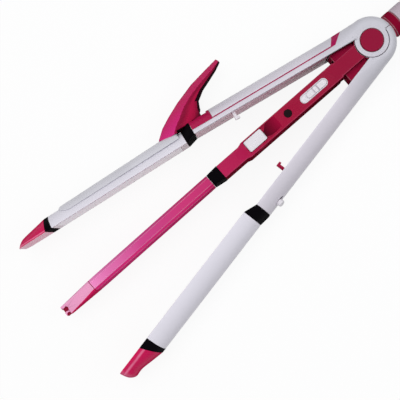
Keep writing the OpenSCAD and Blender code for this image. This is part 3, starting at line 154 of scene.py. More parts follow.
# Python's own operators on values, and four functions
for operation, names in {
        "ADD": "__add__ __radd__", "SUBTRACT": "__sub__", "MULTIPLY": "__mul__ __rmul__",
        "DIVIDE": "__truediv__", "ABSOLUTE": "__abs__", "MAXIMUM": "at_least",
        "MINIMUM": "at_most", "SINE": "sine", "SQRT": "root"}.items():
    for name in names.split():
        setattr(Value, name, lambda one, *others, kind=operation: one.math(kind, one, *others))
Value.__rsub__ = lambda one, other: one.math("SUBTRACT", other, one)


def new_group(kind, name, ins, outs):
    """A tree with named inputs, which may have defaults, and named outputs."""
    tree = bpy.data.node_groups.new(name, kind)
    for label, sort, *default in ins:
        made = tree.interface.new_socket(label, in_out="INPUT", socket_type="NodeSocket" + sort)
        if default:
            made.default_value = default[0]
    for label, sort in outs:
        tree.interface.new_socket(label, in_out="OUTPUT", socket_type="NodeSocket" + sort)
    return tree, {s.name: Value(tree, s) for s in tree.nodes.new("NodeGroupInput").outputs}


print("a value knows", [name for name in vars(Value) if not name.startswith("__")])

# %% [markdown]
# The light is plain and soft, as over a product table: one broad lamp on the camera's side,
# a weaker one beside it, and a pale world. What the camera, gloss and glass see behind the
# part is plain white, while the floor bounces only part of the light, so that the round
# handles still darken towards their edges. The floor keeps a faint contact shadow.
# %% Stage and light
WHITE_LIGHT, COOL_LIGHT = (1, 1, 1, 1), (0.97, 0.975, 1, 1)
WORLD_LIGHT = 0.42
FLOOR_BOUNCE, FLOOR_SEEN = (0.42, 0.42, 0.42, 1), (0.95, 0.95, 0.95, 1)
FLOOR_GLOW_SHARE = 0.9
FLOOR_HALF, FLOOR_DROP = 3.0, 0.0004
KEY_WATTS, FILL_WATTS = 6.4, 1.3


def area_lamp(name, place, target, size, watts, in_gloss):
    """A square lamp that looks at a target."""
    lamp = linked(name, bpy.data.lights.new(name, "AREA"))
    lamp.data.shape, lamp.data.size, lamp.data.energy = "SQUARE", size, watts
    lamp.location = place
    lamp.rotation_mode = "QUATERNION"
    lamp.rotation_quaternion = (Vector(target) - Vector(place)).to_track_quat("-Z", "Y")
    lamp.visible_glossy = in_gloss


def emptied(owner):
    """The empty node tree of a world or material."""
    owner.use_nodes = True
    owner.node_tree.nodes.clear()
    return owner.node_tree


def mixed(tree, share, first, second):
    """Two shaders, mixed by a share of the second."""
    return add(tree, "MixShader", {0: share, 1: first, 2: second})


def seen_directly(tree):
    """1 for the rays of the camera, of gloss and of glass, and 0 for those that only light."""
    rays = tree.nodes.new("ShaderNodeLightPath").outputs
    seen = Value(tree, rays["Is Camera Ray"])
    for kind in ("Is Glossy Ray", "Is Transmission Ray"):
        seen = seen.at_least(rays[kind])
    return seen


world = bpy.data.worlds.new("world")
bpy.context.scene.world = world
tree = emptied(world)
dim = add(tree, "Background", {"Color": COOL_LIGHT, "Strength": WORLD_LIGHT})
bright = add(tree, "Background", {"Color": WHITE_LIGHT})
add(tree, "OutputWorld", {"Surface": mixed(tree, seen_directly(tree), dim, bright)})

area_lamp("key", (0.20, -0.22, 1.13), (0.10, 0, 0), 0.8, KEY_WATTS, in_gloss=False)
area_lamp("fill", (-0.45, 0.35, 0.75), (0.08, 0, 0), 0.5, FILL_WATTS, in_gloss=True)

floor_mesh = bpy.data.meshes.new("floor")
corners = ((-1, -1), (1, -1), (1, 1), (-1, 1))
floor_mesh.from_pydata([(x * FLOOR_HALF, y * FLOOR_HALF, -FLOOR_DROP) for x, y in corners], [],
                       [(0, 1, 2, 3)])
linked("floor", floor_mesh)
floor_paint = bpy.data.materials.new("floor_white")
tree = emptied(floor_paint)
bounce = add(tree, "BsdfDiffuse", {"Color": FLOOR_BOUNCE})
pale = add(tree, "BsdfDiffuse", {"Color": FLOOR_SEEN})
glow = add(tree, "Emission", {"Color": WHITE_LIGHT})
seen = mixed(tree, FLOOR_GLOW_SHARE, pale, glow)
add(tree, "OutputMaterial", {"Surface": mixed(tree, seen_directly(tree), bounce, seen)})
floor_mesh.materials.append(floor_paint)

# %% [markdown]
# Nearly every piece here is injection moulded. Its skin isn't one flat colour: the tone drifts a
# little with the flow of the plastic, the polish varies over tenths of a millimetre, and edges that
# hands and table tops rub go paler. The same paler colour also paints highlights on some ridges and
# corners. These effects are shader groups, built once, and each material sets their values.
# %% Shader helpers


def srgb(*rgb):
    """An 8-bit screen colour as the linear colour that a shader takes."""
    shares = (level / 255 for level in rgb)
    return (*(s / 12.92 if s <= 0.04045 else ((s + 0.055) / 1.055) ** 2.4 for s in shares), 1)


def own_place(tree):
    """Object coordinates, in metres, which stay on the piece when it moves."""
    return tree.nodes.new("ShaderNodeTexCoord").outputs["Object"]


def attribute(tree, name):
    """A named attribute of the mesh, as a number."""
    return Value(tree, add(tree, "Attribute", {}, attribute_name=name).outputs["Fac"])


def noise(tree, scale, detail=3, vector=None):
    """A noise texture in object coordinates, or in the given ones."""
    return Value(tree, add(tree, "TexNoise", {
        "Vector": vector or own_place(tree), "Scale": scale, "Detail": detail}).outputs["Fac"])


def between(value, low, high, to_low, to_high):
    """A value mapped from one range to another, and kept within its ends."""
    return Value(value.tree, add(value.tree, "MapRange", {
        "Value": value, "From Min": low, "From Max": high, "To Min": to_low,
        "To Max": to_high}).outputs["Result"])


print("white as linear colour", [round(c, 3) for c in srgb(224, 219, 229)])

# %% [markdown]
# The moulded skin takes a colour and gives back that colour with a slow drift, a roughness
# that sparkles finely, and a height for a bump. It reads Object coordinates in metres, so
# the grain has the same true size on every piece.
# %% Moulded skin group
FLOW_SCALE, GRAIN_SCALE, SATIN_SCALE = 45, 2600, 900
skin, inp = new_group(
    "ShaderNodeTree", "moulded_skin",
    [("Colour", "Color"), ("Drift", "Float", 0.04), ("Rough", "Float", 0.3),
     ("Uneven", "Float", 0.2)],
    [("Colour", "Color"), ("Roughness", "Float"), ("Height", "Float")])
flow = noise(skin, FLOW_SCALE)
grain = noise(skin, GRAIN_SCALE, 2)
satin = noise(skin, SATIN_SCALE, 2)
tone = between(flow, 0.3, 0.7, 1 - inp["Drift"], 1 + inp["Drift"])
spread = inp["Rough"] * inp["Uneven"]
add(skin, "NodeGroupOutput", {
    "Colour": add(skin, "VectorMath", {0: inp["Colour"], "Scale": tone}, operation="SCALE"),
    "Roughness": between(satin, 0.3, 0.7, inp["Rough"] - spread, inp["Rough"] + spread),
    "Height": grain + satin * 0.5})
print("moulded skin nodes", len(skin.nodes))

# %% [markdown]
# Rubbed edges and painted highlights: the bevelled strips carry a face attribute named edge. Where
# it is 1 the colour goes towards a paler one, broken up by noise, so that no edge is evenly pale.
# On the tips' ridges and ends and on the middle handle's rounded top corners, that paler colour is
# a painted highlight.
# %% Rubbed edge and painted highlight group
PATCH_SCALE = 160
edge_rub_and_highlight, inp = new_group(
    "ShaderNodeTree", "rubbed_edge",
    [("Colour", "Color"), ("Paler", "Color"), ("Amount", "Float", 0.3)],
    [("Colour", "Color")])
patch = between(noise(edge_rub_and_highlight, PATCH_SCALE), 0.35, 0.65, 0.45, 1.0)
blend = add(edge_rub_and_highlight, "Mix", {
    "Factor": attribute(edge_rub_and_highlight, "edge") * patch * inp["Amount"],
    "A": inp["Colour"], "B": inp["Paler"]}, data_type="RGBA")
add(edge_rub_and_highlight, "NodeGroupOutput", {"Colour": blend.outputs["Result"]})
print("rubbed edge nodes", len(edge_rub_and_highlight.nodes))

# %% [markdown]
# Drawn metal is brushed: fine streaks run along the part. Noise that is stretched along one
# axis gives both the uneven polish and the height of the streaks.
# %% Brushed metal group
brush, inp = new_group(
    "ShaderNodeTree", "brushed_metal",
    [("Stretch", "Vector"), ("Rough", "Float", 0.3), ("Uneven", "Float", 0.25)],
    [("Roughness", "Float"), ("Height", "Float")])
stretched = add(brush, "VectorMath", {0: own_place(brush), 1: inp["Stretch"]},
                operation="MULTIPLY")
streak = noise(brush, 1, vector=stretched)
spread = inp["Rough"] * inp["Uneven"]
add(brush, "NodeGroupOutput", {
    "Roughness": between(streak, 0.25, 0.75, inp["Rough"] - spread, inp["Rough"] + spread),
    "Height": streak})
print("brushed metal nodes", len(brush.nodes))

# %% [markdown]
# One helper makes a plastic, whose colour may also change along an axis of the object, as the satin
# bar's does towards its tip, where that paling is a painted highlight. The other makes a metal.
# %% Material makers
PALE_RUB_AND_HIGHLIGHT = (240, 225, 234)
GRAIN_DEPTH_MM = 0.02
GRAZED_FROM, GRAZED_TO = 0.5, 0.85


def along_axis(tree, axis, stops):
    """A colour that runs through stops of mm along an axis, or of a named attribute."""
    first, last = stops[0][0], stops[-1][0]
    if axis in "XYZ":
        split = add(tree, "SeparateXYZ", {0: own_place(tree)}).outputs
        share = between(Value(tree, split[axis]), first * MM, last * MM, 0, 1)
    else:
        share = between(attribute(tree, axis), first, last, 0, 1)
    ramp = add(tree, "ValToRGB", {"Fac": share})
    while len(ramp.color_ramp.elements) < len(stops):
        ramp.color_ramp.elements.new(0.5)
    for element, (where, colour) in zip(ramp.color_ramp.elements, stops):
        element.position = (where - first) / (last - first)
        element.color = srgb(*colour)
    return ramp


def bumped(tree, height, strength):
    """A normal that is disturbed by a height."""
    return add(tree, "Bump", {
        "Strength": strength, "Distance": GRAIN_DEPTH_MM * MM, "Height": height})


def dull_when_grazed(tree, rough, dull):
    """A roughness that rises where the surface is seen along itself, as a used skin does."""
    weight = add(tree, "LayerWeight", {"Blend": 0.5})
    return between(Value(tree, weight.outputs["Facing"]), GRAZED_FROM, GRAZED_TO, rough, dull)


def plastic(name, colour, rough, drift=0.03, grain=0.03, specular=0.3, rub_and_highlight=0.35,
            dull=None, paler=PALE_RUB_AND_HIGHLIGHT, axis="X"):
    """A moulded plastic of one colour, or of a list of stops along an axis."""
    m = bpy.data.materials.new(name)
    m.use_nodes = True
    tree = m.node_tree
    base = along_axis(tree, axis, colour) if isinstance(colour, list) else srgb(*colour)
    moulded = add(tree, "Group", {"Colour": base, "Drift": drift, "Rough": rough},
                  node_tree=skin).outputs
    worn_and_lit = add(tree, "Group", {
        "Colour": moulded["Colour"], "Paler": srgb(*paler), "Amount": rub_and_highlight}, node_tree=edge_rub_and_highlight)
    polish = moulded["Roughness"]
    feed(tree, tree.nodes["Principled BSDF"], {
        "Base Color": worn_and_lit, "Normal": bumped(tree, moulded["Height"], grain),
        "Roughness": dull_when_grazed(tree, polish, dull) if dull else polish,
        "Specular IOR Level": specular})
    return m


def metal(name, colour, rough, stretch, grain=0.04, metallic=1.0):
    """A brushed metal whose streaks run along the axis with the small stretch."""
    m = bpy.data.materials.new(name)
    m.use_nodes = True
    tree = m.node_tree
    streaks = add(tree, "Group", {"Stretch": stretch, "Rough": rough}, node_tree=brush).outputs
    tint = add(tree, "Group", {"Colour": srgb(*colour)}, node_tree=skin)
    feed(tree, tree.nodes["Principled BSDF"], {
        "Base Color": tint, "Roughness": streaks["Roughness"],
        "Normal": bumped(tree, streaks["Height"], grain), "Metallic": metallic})
    return m


print("groups", [g.name for g in bpy.data.node_groups])

# %% [markdown]
# The finishes follow the photograph. The white shells are glossy, and their white deepens by the
# hinge as painted shade. The handle and caps are deep magenta, the bar a satin pink that pales
# towards its tip in a painted highlight, the rings black. The flat covers are mauve by the hinge
# and almost white by the bar, a painted reflection of the magenta middle arm. Deep colours get
# little gloss, because plastic of a dark colour shows every pale reflection.
# %% Finishes
# Painted shade: the shells' white is deeper from -16 to 16 mm along X, over the hinge discs
WHITE = plastic("shell_white", [
    (-16, (204, 204, 212)), (16, (210, 208, 217)), (40, (224, 219, 229)), (120, (224, 219, 229))],
    0.36, drift=0.02, grain=0.02)
BARREL_WHITE = plastic("barrel_white", (234, 231, 241), 0.34, drift=0.015, grain=0.02)
CONTROL_WHITE = plastic("control_white", (232, 228, 234), 0.3, drift=0.02, grain=0.02, rub_and_highlight=0.8)
MAGENTA = plastic("middle_magenta", [
    (22, (148, 14, 54)), (60, (160, 12, 56)), (88, (162, 12, 58)), (104, (176, 20, 76)),
    (120, (186, 26, 84))], 0.34, specular=0.14, dull=0.95, paler=(220, 96, 132))
CAP_MAGENTA = plastic("cap_magenta", (146, 12, 54), 0.34, specular=0.14, rub_and_highlight=0.3, dull=0.95)
# Also the painted shade on the middle handle's side walls
DARK_RED = plastic("middle_dark_red", (134, 10, 44), 0.5, specular=0.01, rub_and_highlight=0.25, dull=1.0)
HUB_RED = plastic("hub_dark_red", (172, 22, 66), 0.5, specular=0.03, rub_and_highlight=0.2, dull=1.0)
BLACK = plastic("black_plastic", (8, 6, 10), 0.55, drift=0.1, specular=0.02, rub_and_highlight=0, dull=1.0)
# Painted highlight: the bar's pink pales towards its tip
BAR = plastic("bar_pink", [
    (128, (200, 50, 112)), (150, (206, 56, 120)), (185, (210, 72, 142)), (212, (236, 120, 184)),
    (224, (250, 146, 206))], 0.36, specular=0.14, rub_and_highlight=0.2, dull=0.95)
BAR_SIDE = plastic("bar_side_pink", [
    (128, (222, 42, 116)), (185, (240, 56, 138)), (224, (242, 50, 136))],
    0.5, specular=0.03, rub_and_highlight=0.3, dull=1.0)
# The tips' paler colour, on their ridges and ends, is a painted highlight
TIP = plastic("tip_pink", (210, 22, 88), 0.3, specular=0.1, rub_and_highlight=0.9, dull=1.0,
              paler=(255, 158, 196))
TIP_DEEP = plastic("tip_deep_pink", (232, 24, 100), 0.5, specular=0.05, rub_and_highlight=0.5, dull=1.0)
# Painted reflection on the clamp tip's flat face
TIP_PAINTED_REFLECTION = plastic("tip_pale_pink", (255, 178, 208), 0.3, specular=0.12, rub_and_highlight=0.5)
# Painted highlight: the middle tip's pale top, set apart from its deeper sides by where faces look
MIDDLE_TIP_PAINTED_HIGHLIGHT = plastic("middle_tip_pink", (255, 172, 214), 0.3, specular=0.2, rub_and_highlight=0.2, dull=0.95)
# The covers' mauve, deepest by the hinge and fading to almost white by the bar, is a painted
# reflection of the magenta middle arm
COVER_PAINTED_REFLECTION = plastic("cover_mauve", [
    (26, (190, 62, 122)), (60, (236, 134, 184)), (85, (252, 192, 222)), (118, (252, 218, 234))],
    0.42, specular=0.52, rub_and_highlight=0.3, grain=0)
ACCENT = plastic("accent_plum", (172, 14, 84), 0.35, specular=0.1, rub_and_highlight=0.2, dull=0.95)
TAIL_GREY = plastic("tail_grey", (192, 178, 188), 0.5, specular=0.12, rub_and_highlight=0.3)
PLATE_PALE = plastic("arm_plate_pale", (236, 238, 254), 0.2, drift=0.02, grain=0, specular=0.5,
                     rub_and_highlight=0.2)
# The lever's finishes are painted light and shade: a lit facet that brightens along Y, painted
# shade behind the ridge that follows the across attribute, and a painted shadow on the underside
LEVER_LIT_FACET = plastic("lever_face", [
    (-56, (190, 30, 88)), (-48, (198, 32, 96)), (-40, (212, 40, 122)), (-34, (222, 56, 142))],
    0.32, specular=0.16, rub_and_highlight=0.25, dull=0.95, axis="Y")
LEVER_PAINTED_SHADE = plastic("lever_deep", [
    (0.0, (150, 18, 62)), (0.1, (140, 14, 54)), (0.26, (176, 18, 68)), (0.42, (160, 16, 60)),
    (0.55, (60, 6, 24)), (0.62, (40, 4, 18))], 0.4, specular=0.06, rub_and_highlight=0, dull=1.0,
    axis="across")
LEVER_PAINTED_SHADOW = plastic("lever_under", (34, 5, 16), 0.6, specular=0.02, rub_and_highlight=0, dull=1.0)
# Painted shade in the power slider's grooves
GROOVE_PAINTED_SHADE = plastic("groove_grey", (200, 194, 202), 0.5, specular=0.1, rub_and_highlight=0)
# Painted shade in the finger scoop, darkest next to the mode button
SCOOP_PAINTED_SHADE = plastic("scoop_red", [
    (74, (158, 12, 56)), (79, (124, 9, 42)), (84, (84, 6, 30)), (86, (66, 5, 22))],
    0.5, specular=0.04, rub_and_highlight=0, dull=1.0)
TONGUE = metal("tongue_metal", (214, 213, 221), 0.36, (40, 1800, 1800), grain=0.02, metallic=0.15)
STEEL = metal("steel", (186, 186, 190), 0.3, (900, 900, 900))
CERAMIC = plastic("heater_ceramic", (232, 228, 216), 0.65, drift=0.05, grain=0.1, specular=0.2,
                  rub_and_highlight=0)
BOARD = plastic("board_green", (40, 100, 60), 0.5, drift=0.12, rub_and_highlight=0)
LEAD = plastic("lead_red", (120, 24, 30), 0.5, rub_and_highlight=0)
LENS = plastic("lens_clear", (22, 5, 9), 0.12, drift=0.05, grain=0.01, specular=0.1, rub_and_highlight=0)
print("materials", len(bpy.data.materials))

# %% [markdown]
# Each node of the frame first gets its finish, listed with a slot name, so that nothing is bare
# before its own piece is made.
# %% Finish of every node
FINISH_OF = {}


def paint(obj, *finishes):
    """Gives an object's mesh its finishes."""
    obj.data.materials.clear()
    for finish in finishes:
        obj.data.materials.append(finish)


for slot, finish, names in (
    ("shell_white", WHITE, "clamp_arm_shell hook_arm_shell"),
    ("shell_white", BARREL_WHITE, "clamp_arm_barrel hook_arm_barrel"),
    ("middle_magenta", MAGENTA, "middle_shell_top clamp_arm_bracket clamp_lever latch_hook"),
    ("middle_magenta", CAP_MAGENTA, "hinge_cap_top hinge_cap_bottom"),
    ("control_white", CONTROL_WHITE,
     "clamp_arm_peg latch_knob power_slider slider_bezel mode_button"),
    ("middle_dark_red", DARK_RED, "middle_shell_bottom tail_ring swivel_gland"),
    ("middle_dark_red", HUB_RED, "hub_block"),
    ("cover_mauve", COVER_PAINTED_REFLECTION, "clamp_arm_cover hook_arm_cover"),
    ("accent_plum", ACCENT, "clamp_arm_accent"), ("tail_grey", TAIL_GREY, "tail_sleeve"),
    ("black_plastic", BLACK, "middle_collar clamp_arm_collar hook_arm_collar "
     "clamp_arm_tip_ring hook_arm_tip_ring switch_body"),
    ("tip_pink", TIP, "clamp_arm_tip hook_arm_tip"), ("tip_pink", MIDDLE_TIP_PAINTED_HIGHLIGHT, "middle_tip"),
    ("bar_pink", BAR, "bar_frame"),
    ("heating_plate", BAR_SIDE, "bar_plate_clamp_side bar_plate_hook_side"),
    ("arm_plate_pale", PLATE_PALE, "clamp_arm_plate hook_arm_plate"),
    ("tongue_metal", TONGUE, "clamp_tongue"),
    ("steel", STEEL, "hinge_pin hinge_washers arm_springs middle_screws clamp_arm_screws "
     "hook_arm_screws clamp_pin clamp_spring clamp_rivets clamp_arm_heater_spring "
     "hook_arm_heater_spring thermal_fuse"),
    ("heater_ceramic", CERAMIC, "bar_heater clamp_arm_heater hook_arm_heater"),
    ("board_green", BOARD, "circuit_board"),
    ("lead_red", LEAD, "middle_leads clamp_arm_leads hook_arm_leads"),
    ("lens_clear", LENS, "indicator_lens indicator_led"),
):
    for name in names.split():
        FINISH_OF[name] = (finish, slot)
        paint(NODES[name], finish)
print("finished nodes", len(FINISH_OF), "of", len(NODES))

# %% [markdown]
# Real mouldings and pressings have no knife edges: each corner is eased by a few tenths of a
# millimetre, and that thin strip catches the light. So a merged copy of a CAD node gets a
# small bevel on its sharp edges, the strips carry the edge attribute, and weighted normals
# keep the flat faces flat. The copy lies wholly within the node, so no size changes.
# %% Piece helpers
JOIN_M, FLAT_DEG, EDGE_DEG, SMOOTH_DEG = 1e-6, 0.3, 32, 40


def from_bmesh(name, bm):
    """A new object whose mesh is what was drawn."""
    mesh = bpy.data.meshes.new(name)
    bm.to_mesh(mesh)
    bm.free()
    return linked(name, mesh)


def evaluated(obj):
    """An object's evaluated shape as a mesh of its own."""
    bpy.context.view_layer.update()
    deps = bpy.context.evaluated_depsgraph_get()
    return bpy.data.meshes.new_from_object(obj.evaluated_get(deps),
                                           preserve_all_data_layers=True, depsgraph=deps)


def baked(obj):
    """The object with its evaluated shape as a plain mesh, and its modifiers gone."""
    mesh = evaluated(obj)
    obj.modifiers.clear()
    obj.data = mesh
    return obj


def smooth_but_crisp(obj, degrees=SMOOTH_DEG):
    """Smooth shading with crisp edges above an angle, and flat faces kept flat."""
    obj.data.shade_smooth()
    obj.data.set_sharp_from_angle(angle=math.radians(degrees))
    weigh = obj.modifiers.new("flat faces stay flat", "WEIGHTED_NORMAL")
    weigh.keep_sharp = True
    return baked(obj)


def stands_for(obj, node):
    """Gives a piece its finish, and puts it in place of a CAD node."""
    finish, slot = FINISH_OF[node]
    paint(obj, finish)
    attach(obj, NODES[node]["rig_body"])
    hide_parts(node)
    return obj


print("edges sharper than", EDGE_DEG, "degrees are eased")

# %% [markdown]
# A bevel folds over itself where a small feature lies closer to an edge than the bevel is
# wide. So each eased copy is checked against the sharp one: where a new face looks the wrong
# way or stands off the surface, the edges near it stay sharp, and the bevel is made again.
# %% Eased copies
FOLD_AREA, TINY_AREA = 1e-9, 1e-10
TURNED_BELOW = 0.3
OFF_WIDTHS, NEAR_WIDTHS = 1.2, 1.6
EASE_ROUNDS, EASE_SEGMENTS = 8, 2


def merged(node):
    """A welded copy of a node's loose triangles, with well-shaped faces."""
    bm = bmesh.new()
    bm.from_mesh(NODES[node].data)
    bmesh.ops.remove_doubles(bm, verts=bm.verts, dist=JOIN_M)
    bmesh.ops.dissolve_limit(bm, angle_limit=math.radians(FLAT_DEG), verts=bm.verts, edges=bm.edges)
    bmesh.ops.triangulate(bm, faces=bm.faces, quad_method="BEAUTY", ngon_method="BEAUTY")
    bm.faces.layers.float.new("edge")
    bm.edges.index_update()
    return bm


def is_sharp(edge):
    return len(edge.link_faces) == 2 and edge.calc_face_angle(0) > math.radians(EDGE_DEG)


def bevelled(base, width, left_sharp):
    """A bevelled copy whose strips carry the edge attribute."""
    bm = base.copy()
    picked = [e for e in bm.edges if e.index not in left_sharp and is_sharp(e)
              and e.calc_length() > 2 * width]
    strips = bmesh.ops.bevel(bm, geom=picked, offset=width, offset_type="OFFSET",
                             segments=EASE_SEGMENTS, profile=0.5, clamp_overlap=False,
                             affect="EDGES")["faces"]
    layer = bm.faces.layers.float["edge"]
    for face in strips:
        face[layer] = 1.0
    bmesh.ops.triangulate(bm, faces=bm.faces)
    return bm


def folded_points(bm, surface, width):
    """The corners of faces that look the wrong way or stand off the sharp surface."""
    points = []
    for face in bm.faces:
        if face.calc_area() < TINY_AREA:
            continue
        _, normal, _, off = surface.find_nearest(face.calc_center_median())
        turned = face.normal.dot(normal) < TURNED_BELOW and face.calc_area() > FOLD_AREA
        if turned or off > OFF_WIDTHS * width:
            points += [v.co.copy() for v in face.verts]
    return points


def runs_near(a, b, points, reach):
    """Whether the edge from a to b passes one of the points within reach."""
    along = b - a
    for p in points:
        t = min(1, max(0, (p - a).dot(along) / along.length_squared))
        if (a + along * t - p).length < reach:
            return True
    return False


def eased(node, width_mm):
    """A copy of a node with its sharp edges eased."""
    base, width = merged(node), width_mm * MM
    surface = BVHTree.FromBMesh(base)
    edges = [(e.index, *(v.co.copy() for v in e.verts)) for e in base.edges if is_sharp(e)]
    left_sharp = set()
    for _ in range(EASE_ROUNDS):
        bm = bevelled(base, width, left_sharp)
        points = folded_points(bm, surface, width)
        near = {index for index, a, b in edges if index not in left_sharp
                and runs_near(a, b, points, NEAR_WIDTHS * width)}
        if not near:
            break
        left_sharp |= near
        bm.free()
    base.free()
    return stands_for(smooth_but_crisp(from_bmesh(node + "_eased", bm)), node)


# Nodes that later cells shape, and the widths of eased edges in mm
SHAPED_LATER = (
    "clamp_arm_tip hook_arm_tip clamp_lever clamp_tongue clamp_rivets clamp_spring arm_springs "
    "middle_screws clamp_arm_screws hook_arm_screws middle_leads clamp_arm_leads "
    "hook_arm_leads").split()
EASE_MM = {node: 0.25 for node in FINISH_OF if node not in SHAPED_LATER}
for width, names in (
    (0.4, "clamp_arm_shell hook_arm_shell hub_block clamp_arm_collar hook_arm_collar"),
    (0.2, "latch_hook power_slider"), (0.08, "clamp_pin thermal_fuse"), (0.05, "indicator_led"),
    (0.12, "clamp_arm_tip_ring hook_arm_tip_ring bar_plate_clamp_side bar_plate_hook_side "
     "clamp_arm_accent slider_bezel indicator_lens circuit_board hinge_washers hinge_pin "
     "latch_knob clamp_arm_heater_spring hook_arm_heater_spring"),
):
    EASE_MM.update({node: width for node in names.split()})
PIECES = {node: eased(node, width) for node, width in EASE_MM.items()}
print("eased pieces", len(PIECES), "faces", sum(len(o.data.polygons) for o in PIECES.values()))

# %% [markdown]
# Some pieces show two finishes: a satin top that faces the light, and deeper sides. On the middle
# handle the deeper side walls are painted shade, and on the middle tip the pale top is a painted
# highlight, while the bar's sides take the heating plates' colour. The faces are sorted by where
# they look, in the piece's own mesh, so the split stays on the piece when it moves.
# %% Painted shade on deeper sides, and small places of painted shade and highlight
STEEP, BEVEL_UP, WALL_UP = 0.7, 0.3, 0.35
SCOOP_MM, SCOOP_HALF_MM, SCOOP_BELOW_MM = (73.5, 85.6), 4.6, 0.02
GROOVE_BELOW_MM = (0.25, 0.9)
CORNER_HIGHLIGHT_UP = (0.35, 0.9)
SHELL_TOP, KNOB_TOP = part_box("middle_shell_top")[1].z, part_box("power_slider")[1].z


def refinish(piece, finishes, choose):
    """Gives a piece several finishes; choose(face) says which one a face takes."""
    paint(piece, *finishes)
    for face in piece.data.polygons:
        face.material_index = choose(face)
    return sum(1 for f in piece.data.polygons if f.material_index)


def bar_face(face):
    """Deeper sides and lower bevel. The bevel that looks up to the clamp arm stays pale. On the
    middle tip, that pale top and bevel are a painted highlight.
    """
    up, across = face.normal.z, face.normal.y
    return 0 if abs(up) > STEEP or (across < 0 and up > BEVEL_UP) else 1


def middle_face(face):
    """The handle's top, its side walls deepened as painted shade, and the finger scoop behind the
    mode button, darkened by painted shade.
    """
    in_scoop = (SCOOP_MM[0] < face.center.x / MM < SCOOP_MM[1] and face.normal.z > BEVEL_UP
                and abs(face.center.y) < SCOOP_HALF_MM * MM
                and SHELL_TOP - face.center.z > SCOOP_BELOW_MM * MM)
    return 2 if in_scoop else int(abs(face.normal.z) < WALL_UP)


def groove_face(face):
    """The floors and walls of the grooves across the power slider's knob, which take painted shade.
    """
    least, most = GROOVE_BELOW_MM
    crosswise = abs(face.normal.x) + face.normal.z > 0.6 and abs(face.normal.y) < 0.3
    return int(crosswise and least < (KNOB_TOP - face.center.z) / MM < most)


for node, finishes, choose in (
        ("middle_shell_top", [MAGENTA, DARK_RED, SCOOP_PAINTED_SHADE], middle_face),
        ("bar_frame", [BAR, BAR_SIDE], bar_face), ("middle_tip", [MIDDLE_TIP_PAINTED_HIGHLIGHT, TIP_DEEP], bar_face),
        ("power_slider", [CONTROL_WHITE, GROOVE_PAINTED_SHADE], groove_face)):
    print(node, "faces in another finish", refinish(PIECES[node], finishes, choose))
# The handle's rounded top corners get the edge attribute's paler colour as a painted highlight
shell = PIECES["middle_shell_top"].data
for face in shell.polygons:
    if CORNER_HIGHLIGHT_UP[0] < face.normal.z < CORNER_HIGHLIGHT_UP[1]:
        shell.attributes["edge"].data[face.index].value = 1.0

# %% [markdown]
# The outer arms are turned about the hinge, so their pieces are easiest to shape in each
# arm's own straight frame and then to place with one matrix. The clamp arm is a mirrored
# arm, which turns its faces inside out, so normals are recalculated after placing.
# %% Places of the arms
HOOK_OPEN_DEG, CLAMP_OPEN_DEG = 11.3, 10.8
CLAMP_LEAN_DEG, TONGUE_LEAN_DEG = 1.8, 0.9
BAR_X, BAR_END_X = 128.4, 223.8
HOOK_PLATE_Y, CLAMP_PLATE_Y = 2.2, 3.2


def shift(x, y, z=0.0):
    return Matrix.Translation((x, y, z))


def turn(degrees):
    return Matrix.Rotation(math.radians(degrees), 4, "Z")


LIFT = shift(0, 0, MID_Z)
HOOK_ARM = LIFT @ turn(HOOK_OPEN_DEG)
CLAMP_ARM = LIFT @ turn(-CLAMP_OPEN_DEG) @ Matrix.Diagonal((1, -1, 1, 1))
HOOK_PLATE = HOOK_ARM @ shift(0, HOOK_PLATE_Y)
CLAMP_PLATE = CLAMP_ARM @ shift(BAR_X, CLAMP_PLATE_Y) @ turn(-CLAMP_LEAN_DEG) @ shift(-BAR_X, 0)


def placed(obj, matrix, node, crisp_deg=SMOOTH_DEG):
    """Moves a piece drawn in mm into the row frame in metres, turns its faces outwards, and
    lets it stand for a node."""
    obj.data.transform(Matrix.Scale(MM, 4) @ matrix)
    bm = bmesh.new()
    bm.from_mesh(obj.data)
    bmesh.ops.remove_doubles(bm, verts=bm.verts, dist=JOIN_M)
    bmesh.ops.recalc_face_normals(bm, faces=bm.faces)
    if bm.calc_volume(signed=True) < 0:
        bmesh.ops.reverse_faces(bm, faces=bm.faces)
    bm.to_mesh(obj.data)
    bm.free()
    return stands_for(smooth_but_crisp(obj, crisp_deg), node)


print("clamp plate frame", [round(v, 1) for v in CLAMP_PLATE @ Vector((BAR_X, 0, 0))])

# %% [markdown]
# The two outer tips are thick mouldings of bright plastic, beak-like on the hook arm and a flat
# duck's bill on the clamp arm. Each is lofted: sections with a flat face, a narrow ridge and a
# round back are strung along the arm on smooth curves. The first section is slanted, as the black
# ring before it is. The ridge and the tip's end carry the edge attribute, because in the photograph
# they shine: its paler colour there is a painted highlight.
# %% Lofted tips
SECTION_ARC, TIP_STEPS = 18, 30
RIDGE_HALF, RIDGE_SHINE = 1.0, 0.9
END_FROM, END_SHINE = 0.8, 0.75
FLAT_LOOK, TIP_CRISP_DEG = 0.93, 48


def smooth_rows(rows, steps):
    """Rows of numbers on a smooth curve through the given rows."""
    out = []
    last = len(rows) - 1
    for k in range(steps + 1):
        t = last * k / steps
        i = min(int(t), last - 1)
        u = t - i
        p = [rows[max(i - 1, 0)], rows[i], rows[i + 1], rows[min(i + 2, last)]]
        out.append([0.5 * (2 * b + (c - a) * u + (2 * a - 5 * b + 4 * c - d) * u * u
                           + (3 * b - a - 3 * c + d) * u ** 3) for a, b, c, d in zip(*p)])
    return out


